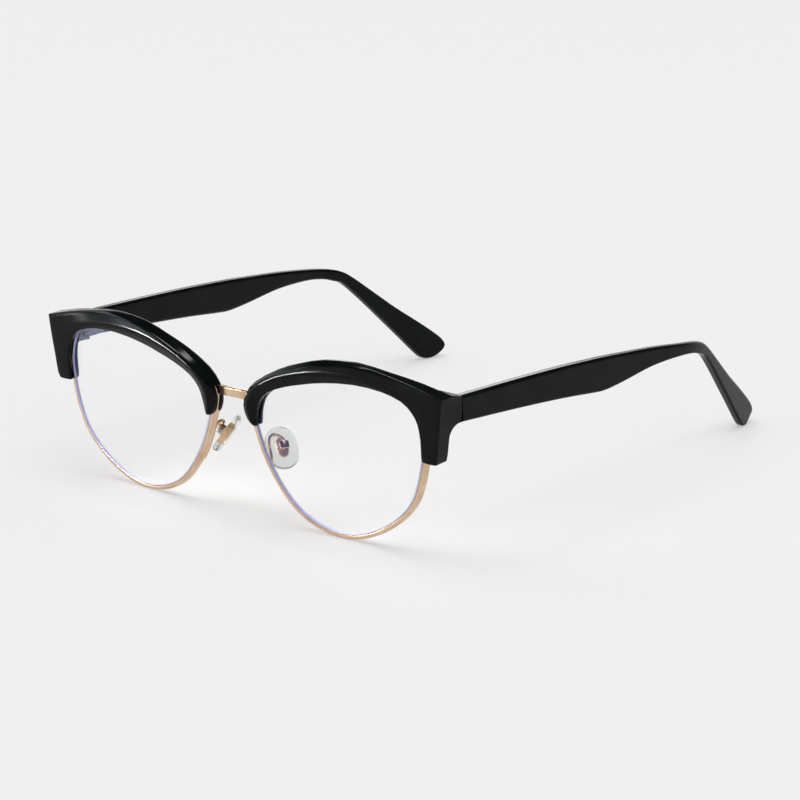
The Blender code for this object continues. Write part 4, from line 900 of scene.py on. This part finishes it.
def wire_profile(sizes):
    """Section of the eyewire: rounded outside, with the lens groove inside."""
    depth, height, ease = sizes.wire_depth / 2, sizes.wire_height, WIRE_EASE
    corner = ease * (1 - math.sqrt(0.5))
    return (
        (0, depth - WIRE_LIP), (WIRE_LIP, depth), (height - ease, depth),
        (height - corner, depth - corner), (height, depth - ease), (height, ease - depth),
        (height - corner, corner - depth), (height - ease, -depth), (WIRE_LIP, -depth),
        (0, WIRE_LIP - depth), (0, -GROOVE_HALF), (GROOVE_DEPTH, 0), (0, GROOVE_HALF))


class EYEGLASSES_OT_eyewires(bpy.types.Operator):
    """Draws the two full metal eyewires, each from end to end of its split"""

    bl_idname = "eyeglasses.eyewires"
    bl_label = "Eyewires"

    def execute(self, context):
        sizes = context.scene.eyeglass_sizes
        path = lens_path(WIRE_POINTS)
        start = min(
            (i for i, p in enumerate(path) if p.x > 0 and p.y > LOCK_SPLIT_RISE),
            key=lambda i: path[i].y)
        path = path[start:] + path[:start]
        rings = []
        for i, point in enumerate(path):
            along = path[(i + 1) % len(path)] - path[i - 1]
            out = Vector((along.y, -along.x)).normalized()
            sag = rim_sag(point.x, point.y)
            rings.append([Vector((*(point + out * u), sag + v)) for u, v in wire_profile(sizes)])
        for ring, gap in ((rings[0], WIRE_SPLIT / 2), (rings[-1], -WIRE_SPLIT / 2)):
            middle = sum((p.y for p in ring), 0.0) / len(ring)
            for point in ring:
                point.y += LOCK_SPLIT_RISE + gap - middle
        bm, made = loft(rings)
        # The inner lip and the groove take the dark navy finish: painted shade and a painted blue
        # reflection
        inside = {ring[k] for ring in made for k in (0, -4, -3, -2, -1)}
        for face in bm.faces:
            face.material_index = int(inside.issuperset(face.verts))
        bm.transform(rim_matrix())
        place_pair("eyewire", bm, ("rose_gold_plating", "groove_painted_shade_and_reflection"), "front", smooth=50.0)
        return {"FINISHED"}


class EYEGLASSES_OT_lenses(bpy.types.Operator):
    """Grinds the two bent lenses, with the bevel that sits in the eyewire's groove"""

    bl_idname = "eyeglasses.lenses"
    bl_label = "Lenses"

    def execute(self, context):
        sizes = context.scene.eyeglass_sizes
        path, shares = lens_path(LENS_POINTS), LENS_RING_SHARES
        seat, apex = offset_path(path, -sizes.fit), offset_path(path, LENS_APEX)
        faced = offset_path(path, -sizes.fit - LENS_CHAMFER)
        rolled = offset_path(path, -sizes.fit - LENS_ROLL)
        rings = [on_rim([p * share for p in faced], LENS_FRONT) for share in shares]
        rings += [
            on_rim(faced, LENS_FRONT), on_rim(seat, LENS_FRONT - LENS_CHAMFER),
            on_rim(seat, LENS_EDGE), on_rim(apex), on_rim(seat, -LENS_EDGE),
            on_rim(rolled, LENS_REAR)]
        rings += [on_rim([p * share for p in rolled], LENS_REAR) for share in reversed(shares)]
        bm, made = loft(rings)
        caps = [f for f in bm.faces if len(f.verts) == len(path)]
        centre = rim_sag(0, 0)
        for vert in bmesh.ops.poke(bm, faces=caps)["verts"]:
            vert.co = (0, 0, centre + (LENS_FRONT if vert.co.z > centre else LENS_REAR))
        # The ground edge and the chamfer take finishes whose lilac is a painted reflection
        ground = {v for ring in made[len(shares) + 1:-len(shares)] for v in ring}
        eased = set(made[len(shares)]) | set(made[len(shares) + 1])
        for face in bm.faces:
            if ground.issuperset(face.verts):
                face.material_index = 1
            elif eased.issuperset(face.verts):
                face.material_index = 2
        bm.transform(rim_matrix())
        looks = ("coated_lens", "ground_lens_edge", "lens_chamfer")
        place_pair("lens", bm, looks, "front", smooth=24.0)
        return {"FINISHED"}


class EYEGLASSES_OT_bridge(bpy.types.Operator):
    """Bends the flat bridge bar between the two eyewires"""

    bl_idname = "eyeglasses.bridge"
    bl_label = "Bridge"

    def execute(self, context):
        sizes = context.scene.eyeglass_sizes
        edge = outline_at(BRIDGE_LEVEL, -1, sizes.wire_height * BRIDGE_SEAT_SHARE)
        end = rim_matrix() @ Vector((edge, BRIDGE_LEVEL, rim_sag(edge, BRIDGE_LEVEL)))
        path = []
        for i in range(-BRIDGE_STEPS, BRIDGE_STEPS + 1):
            share = i / BRIDGE_STEPS
            curve = (1 - share * share) ** 2
            path.append(Vector((
                share * end.x, end.y - BRIDGE_BOW * curve, end.z + BRIDGE_RISE * curve)))
        profile = []
        for sy, sz in ((1, 1), (-1, 1), (-1, -1), (1, -1)):
            for k in range(BRIDGE_CORNER_STEPS + 1)[::sy * sz]:
                angle = QUARTER_TURN * k / BRIDGE_CORNER_STEPS
                profile.append((
                    sy * (BRIDGE_HALF_DEPTH - BRIDGE_EASE * (1 - math.cos(angle))),
                    sz * (BRIDGE_HALF_HEIGHT - BRIDGE_EASE * (1 - math.sin(angle)))))
        rings = []
        for point, along in zip(path, tangents(path)):
            side = along.cross(Vector((0, 0, -1))).normalized()
            up = along.cross(side).normalized()
            rings.append([point + side * u + up * v for u, v in profile])
        place_piece("bridge_piece", loft(rings)[0], ("rose_gold_plating",), "front", "bridge", 40.0)
        return {"FINISHED"}


# Temples

def toe_in(y):
    """How far the temple has moved inwards at a distance behind the front."""
    past = y - TOE_START
    if past <= -TOE_EASE:
        return 0
    if past < TOE_EASE:
        return math.tan(TOE_ANGLE) * (past + TOE_EASE) ** 2 / (4 * TOE_EASE)
    return math.tan(TOE_ANGLE) * past


def temple_section(row, sizes, inset):
    """A section with rounded corners, outer top first, given its upper and lower edge points; the
    inset shrinks it all round."""
    top, low = Vector((row[0], row[1])), Vector((row[2], row[3]))
    middle = (top.x + low.x) / 2
    share = min(max((middle - TOE_START / 2) / (TEMPLE_LENGTH - TOE_START / 2), 0), 1)
    full = sizes.temple_thickness + (sizes.tip_thickness - sizes.temple_thickness) * share
    down = (low - top).normalized()
    height = (low - top).length - 2 * inset
    width = full - 2 * inset
    points = []
    for near_low, inner, reach in TEMPLE_CORNERS:
        radius = min(sizes.temple_rounding * reach, height * CORNER_SHARE, width * CORNER_SHARE)
        for k in range(CORNER_STEPS + 1):
            angle = QUARTER_TURN * (k / CORNER_STEPS)
            if near_low == inner:
                angle = QUARTER_TURN - angle
            sink, side = radius * (1 - math.sin(angle)), radius * (1 - math.cos(angle))
            fall = inset + (height - sink if near_low else sink)
            depth = inset + (width - side if inner else side)
            edge = top + down * fall
            points.append(set_back((TEMPLE_OUTER - depth - toe_in(edge.x), edge.x, edge.y)))
    return points


class EYEGLASSES_OT_temples(bpy.types.Operator):
    """Lofts the two temples, from the mitre to the curved tip"""

    bl_idname = "eyeglasses.temples"
    bl_label = "Temples"

    def execute(self, context):
        sizes = context.scene.eyeglass_sizes
        rows = [(uy * TEMPLE_LENGTH, uz * END_TOP, ly * TEMPLE_LENGTH, lz * END_TOP)
                for uy, uz, ly, lz in TEMPLE_STATION_SHARES]
        shift = MITRE_DEPTH + MITRE_GAP - rows[0][0]
        rows[0] = (rows[0][0] + shift, rows[0][1], rows[0][2] + shift, rows[0][3])
        rows = smooth_rows(rows, TEMPLE_STEPS)
        end = rows[-1]
        reach = min((end.xy - end.zw).length, sizes.tip_thickness) * CORNER_SHARE
        straight = len(rows) - 1 - TIP_STEPS
        rings = []
        for index, row in enumerate(rows):
            angle = QUARTER_TURN * max(0, index - straight) / TIP_STEPS
            rings.append(temple_section(row, sizes, reach * (1 - math.cos(angle))))
        bm = loft(rings)[0]
        ease_mitre(bm, MITRE_DEPTH + MITRE_GAP)
        place_pair("temple", bm, ("polished_acetate", "sawn_acetate_painted_highlight"), "temple_left", smooth=30.0)
        return {"FINISHED"}


# Nose pads

def oval(width, length, depth):
    """A rounded outline a little fuller than an ellipse."""
    points = []
    for i in range(PAD_SIDES):
        angle = math.tau * i / PAD_SIDES
        c, s = math.cos(angle), math.sin(angle)
        points.append(Vector((
            width / 2 * math.copysign(abs(c) ** (2 / PAD_FULLNESS), c),
            length / 2 * math.copysign(abs(s) ** (2 / PAD_FULLNESS), s), depth)))
    return points


class EYEGLASSES_OT_pads(bpy.types.Operator):
    """Moulds the clear nose pads over their plated inserts"""

    bl_idname = "eyeglasses.pads"
    bl_label = "Nose Pads"

    def execute(self, context):
        sizes = context.scene.eyeglass_sizes
        matrix = pad_matrix()
        rings = []
        for reach, height in PAD_SECTION_SHARES:
            inset = PAD_THICKNESS * PAD_TAPER_SHARE * (1 - reach)
            rings.append(oval(sizes.pad_width - inset * 2, sizes.pad_length - inset * 2,
                              PAD_LIFT + PAD_THICKNESS * height))
        bm = loft(rings)[0]
        bmesh.ops.poke(bm, faces=[f for f in bm.faces if len(f.verts) == PAD_SIDES])
        bm.transform(matrix)
        place_pair("nose_pad", bm, ("moulded_silicone",), "pad_left", smooth=80.0, name="pad")
        seat = PAD_LIFT + INSERT_INSET
        plate = loft([oval(wide, long, seat + level) for wide, long, level in INSERT_SECTION])[0]
        tab = box_mesh(TAB_LOW, (*TAB_HIGH, seat + INSERT_INSET))
        bevel(tab, list(tab.edges), TAB_EASE)
        plate = cut(plate, [tab], "UNION")
        plate.transform(matrix)
        place_pair("pad_insert", plate, ("plated_insert",), "pad_left", smooth=40.0)
        return {"FINISHED"}


class EYEGLASSES_OT_pad_arms(bpy.types.Operator):
    """Bends the gooseneck pad arms and adds their screw boxes and screws"""

    bl_idname = "eyeglasses.pad_arms"
    bl_label = "Pad Arms"

    def execute(self, context):
        sizes = context.scene.eyeglass_sizes
        behind = -sizes.wire_depth / 2 - ARM_RADIUS * ARM_STAND_SHARE
        matrix, half = pad_matrix(), BOX_HALF
        points = []
        for height in ARM_FOOT_LEVELS:
            x = outline_at(height, -1, sizes.wire_height / 2)
            points.append(rim_matrix() @ Vector((x, height, rim_sag(x, height) + behind)))
        points += [
            set_back([s * m for s, m in zip(share, MOUNT_PLACE)]) for share in ARM_LOOP_SHARES]
        joint = -half.z - ARM_RADIUS
        points += [
            matrix @ Vector((0, half.y * along, joint * down)) for along, down in ARM_END_SHARES]
        bm = wire_mesh(smooth_rows(points, ARM_STEPS), ARM_RADIUS, ARM_SIDES)
        place_pair("pad_arm", bm, ("rose_gold_plating",), "front", smooth=60.0)
        block = box_mesh((-half.x, -half.y, -half.z - BOX_WALL / 2), half)
        bevel(block, list(block.edges), BOX_EASE, segments=3)
        wall = half.x - BOX_WALL
        room = box_mesh((-wall, -half.y * 2, -half.z), (wall, half.y * 2, half.z * 2))
        block = cut(block, [room])
        block.transform(matrix)
        place_pair("pad_box", block, ("rose_gold_plating",), "front")
        screw = screw_mesh(PAD_SCREW, (-PAD_SCREW_HALF, 0, 0), (PAD_SCREW_HALF, 0, 0), matrix)
        place_pair("pad_screw", screw, ("turned_steel",), "front")
        return {"FINISHED"}


# Hardware

def screw_mesh(screw, tip, seat, matrix=Matrix()):
    """A screw from its tip to the seat of its domed, slotted head."""
    radius, head_radius, head_height = screw
    tip, seat = Vector(tip), Vector(seat)
    along = (seat - tip).normalized()
    turn = along.to_track_quat("Z", "Y").to_matrix()
    side, up = turn @ Vector((1, 0, 0)), turn @ Vector((0, 1, 0))
    length = (seat - tip).length
    blunt, taper = SCREW_TIP_SHARES
    stations = [(0, radius * blunt), (radius * taper, radius), (length, radius)]
    stations += [(length + head_height * level, head_radius * reach)
                 for level, reach in SCREW_HEAD_SHARES]
    bm = loft([circle(tip + along * level, side, up, reach, SCREW_SIDES)
               for level, reach in stations])[0]
    wide, long, deep = SCREW_SLOT_SHARES
    slot = box_mesh((-head_radius * wide, -head_radius * long, -head_height * deep),
                    (head_radius * wide, head_radius * long, head_height))
    slot.transform(Matrix.Translation(tip + along * (length + head_height)) @ turn.to_4x4())
    bm = cut(bm, [slot])
    bm.transform(matrix)
    return bm


def refined(node):
    """A merged copy of a CAD node with its sharp edges eased."""
    bm = bmesh.new()
    bm.from_mesh(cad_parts[node].data)
    bmesh.ops.remove_doubles(bm, verts=bm.verts, dist=CAD_MERGE_GAP)
    bmesh.ops.dissolve_limit(bm, angle_limit=CAD_FLAT_ANGLE, verts=bm.verts, edges=bm.edges,
                             use_dissolve_boundaries=False)
    bevel(bm, sharp_edges(bm, CAD_SHARP_ANGLE), CAD_EASE)
    return bm


class EYEGLASSES_OT_hardware(bpy.types.Operator):
    """Stamps the hinge leaves and turns the slotted screws"""

    bl_idname = "eyeglasses.hardware"
    bl_label = "Hinges And Screws"

    def execute(self, context):
        sizes = context.scene.eyeglass_sizes
        for leaf, body in (("hinge_front", "front"), ("hinge_temple", "temple_left")):
            place_pair(leaf, refined(leaf + "_left"), ("nickel_silver",), body)
        hinge = set_back(HINGE_PLACE)
        rise = Vector((0, 0, HINGE_STACK / 2))
        screw = screw_mesh(HINGE_SCREW, hinge - rise, hinge + rise + Vector((0, 0, HINGE_SEAT)))
        place_pair("hinge_screw", screw, ("turned_steel",), "front")
        _, x, y = lock_places(sizes)
        screw = screw_mesh(BROW_SCREW, (x, y, BROW_SCREW_TIP),
                           (x, y, -BROW_REAR_DEPTH - BROW_SCREW_PROUD), rim_matrix())
        place_pair("brow_screw", screw, ("turned_steel",), "front")
        plain = {"rim_lock_upper": "rose_gold_plating", "rim_lock_lower": "rose_gold_plating",
                 "rim_lock_screw": "turned_steel", "temple_core": "nickel_silver"}
        for name, look in plain.items():
            for side in SIDES:
                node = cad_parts[f"{name}_{side}"]
                node.data.materials.clear()
                node.data.materials.append(finish(look))
        return {"FINISHED"}


# Stage

def studio_world(colours):
    """A pale room that dims towards its ceiling, seen by the camera, in gloss and through glass.
    Its plain diffuse light comes evenly from all round."""
    world = bpy.data.worlds.new("studio")
    world.use_nodes = True
    tree = world.node_tree
    tree.nodes.clear()
    output = add_node(tree, "OutputWorld")
    height = add_node(tree, "SeparateXYZ", {
        0: add_node(tree, "TexCoord").outputs["Generated"]}).outputs["Z"]
    rise = add_node(tree, "MapRange", {
        "Value": height, "From Min": ROOM_RISE[0], "From Max": ROOM_RISE[1]},
        {"interpolation_type": "SMOOTHSTEP"})
    room = add_node(tree, "Mix", {
        MIX_FACTOR: rise.outputs[0], MIX_FIRST: colours.floor, MIX_SECOND: linear("#3E4348")},
        {"data_type": "RGBA"})
    backdrop = add_node(tree, "Background", {"Color": room.outputs[MIX_RESULT], "Strength": 1.0})
    fill = add_node(tree, "Background", {"Color": linear("#FFFFFF"), "Strength": FILL_STRENGTH})
    mixed = add_node(tree, "MixShader", {
        0: seen_directly(tree), 1: fill.outputs[0], 2: backdrop.outputs[0]})
    tree.links.new(mixed.outputs[0], output.inputs[0])
    return world


def seen_directly(tree):
    """1 where the camera sees a surface, also in gloss or through glass, and 0 for its light."""
    paths = add_node(tree, "LightPath")
    indirect = add_node(tree, "Math", {
        0: paths.outputs["Is Glossy Ray"], 1: paths.outputs["Is Transmission Ray"]},
        {"operation": "MAXIMUM"})
    seen = add_node(tree, "Math", {0: paths.outputs["Is Camera Ray"], 1: indirect.outputs[0]},
                    {"operation": "MAXIMUM"})
    return seen.outputs[0]


def pale_floor(colours):
    """A matt painted floor that keeps the object's shadow, softened where it is seen."""
    material, tree, output, place = new_finish("pale_floor")
    grain = add_node(tree, "TexNoise", {"Vector": place, "Scale": 1 / (3 * MM), "Detail": 1.0})
    colour = add_node(tree, "Mix", {
        MIX_FACTOR: grain.outputs[0], MIX_FIRST: colours.floor,
        MIX_SECOND: toned(colours.floor, 0.995)}, {"data_type": "RGBA"})
    shader = add_node(tree, "BsdfPrincipled", {
        "Base Color": colour.outputs[MIX_RESULT], "Roughness": 1.0, "Specular IOR Level": 0.0})
    even = add_node(tree, "Emission", {"Color": colours.floor, "Strength": 1.0})
    share = add_node(tree, "Math", {0: seen_directly(tree), 1: FLOOR_EVEN_SHARE},
                     {"operation": "MULTIPLY"})
    mixed = add_node(tree, "MixShader", {
        0: share.outputs[0], 1: shader.outputs[0], 2: even.outputs[0]})
    tree.links.new(mixed.outputs[0], output.inputs[0])
    return material


def soft_box(name, place, size, power, colour="#FFFFFF", aim=PANEL_AIM, in_gloss=True):
    """A light panel that shows in gloss only, so that the floor stays even, or in no gloss."""
    lamp = bpy.data.lights.new(name, "AREA")
    lamp.shape = "RECTANGLE"
    lamp.size, lamp.size_y = size
    lamp.energy = power
    lamp.color = linear(colour)
    item = bpy.data.objects.new(name, lamp)
    bpy.context.scene.collection.objects.link(item)
    item.location = place
    item.rotation_euler = (Vector(aim) - Vector(place)).to_track_quat("-Z", "Y").to_euler()
    item.visible_diffuse = not in_gloss
    item.visible_glossy = in_gloss
    item.visible_transmission = False
    item.visible_camera = False


def photo_camera():
    """The camera at the photograph's place, turned by its yaw, pitch and roll."""
    yaw, pitch, roll = CAMERA_TURN
    back = Vector((math.sin(yaw) * math.cos(pitch), -math.cos(yaw) * math.cos(pitch),
                   math.sin(pitch)))
    right = Vector((math.cos(yaw), math.sin(yaw), 0))
    up = back.cross(right)
    side = right * math.cos(roll) + up * math.sin(roll)
    top = up * math.cos(roll) - right * math.sin(roll)
    lens = bpy.data.cameras.new("camera")
    lens.sensor_width = SENSOR_WIDTH
    lens.lens = SENSOR_WIDTH * CAMERA_FOCAL_SHARE
    lens.clip_start, lens.clip_end = CLIP_RANGE
    camera = bpy.data.objects.new("camera", lens)
    camera.matrix_world = Matrix.Translation(CAMERA_PLACE) @ Matrix(
        (side, top, back)).transposed().to_4x4()
    bpy.context.scene.collection.objects.link(camera)
    return camera


class EYEGLASSES_OT_stage(bpy.types.Operator):
    """Sets the pale floor, the soft studio light and the camera"""

    bl_idname = "eyeglasses.stage"
    bl_label = "Stage And Camera"

    def execute(self, context):
        scene = context.scene
        colours = scene.eyeglass_colours
        scene.world = studio_world(colours)
        bm = bmesh.new()
        bmesh.ops.create_circle(bm, cap_ends=True, segments=FLOOR_SIDES, radius=FLOOR_RADIUS)
        floor = bpy.data.objects.new("floor", to_mesh("floor", bm))
        floor.data.materials.append(pale_floor(colours))
        scene.collection.objects.link(floor)
        soft_box(*CEILING, aim=CEILING_AIM, in_gloss=False)
        for panel in PANELS:
            soft_box(*panel)
        scene.camera = photo_camera()
        scene.view_settings.view_transform = "Standard"
        return {"FINISHED"}


class EYEGLASSES_PT_panel(bpy.types.Panel):
    """Lists the eyeglasses' sizes, colours and pieces"""

    bl_idname = "EYEGLASSES_PT_panel"
    bl_label = "Eyeglasses"
    bl_space_type = "VIEW_3D"
    bl_region_type = "UI"
    bl_category = "Eyeglasses"

    def draw(self, context):
        for group in (context.scene.eyeglass_sizes, context.scene.eyeglass_colours):
            box = self.layout.box()
            for name in group.__annotations__:
                box.prop(group, name)
        for operator in PIECE_OPERATORS:
            self.layout.operator(operator.bl_idname)


PIECE_OPERATORS = (
    EYEGLASSES_OT_brows, EYEGLASSES_OT_eyewires, EYEGLASSES_OT_lenses, EYEGLASSES_OT_bridge,
    EYEGLASSES_OT_temples, EYEGLASSES_OT_pads, EYEGLASSES_OT_pad_arms, EYEGLASSES_OT_hardware,
    EYEGLASSES_OT_stage)
CLASSES = (EyeglassSizes, EyeglassColours, *PIECE_OPERATORS, EYEGLASSES_PT_panel)


def register():
    for item in CLASSES:
        bpy.utils.register_class(item)
    bpy.types.Scene.eyeglass_sizes = PointerProperty(type=EyeglassSizes)
    bpy.types.Scene.eyeglass_colours = PointerProperty(type=EyeglassColours)


def unregister():
    del bpy.types.Scene.eyeglass_colours
    del bpy.types.Scene.eyeglass_sizes
    for item in reversed(CLASSES):
        bpy.utils.unregister_class(item)


def main():
    register()
    for operator in PIECE_OPERATORS:
        group, name = operator.bl_idname.split(".")
        getattr(getattr(bpy.ops, group), name)()


if __name__ == "__main__":
    main()
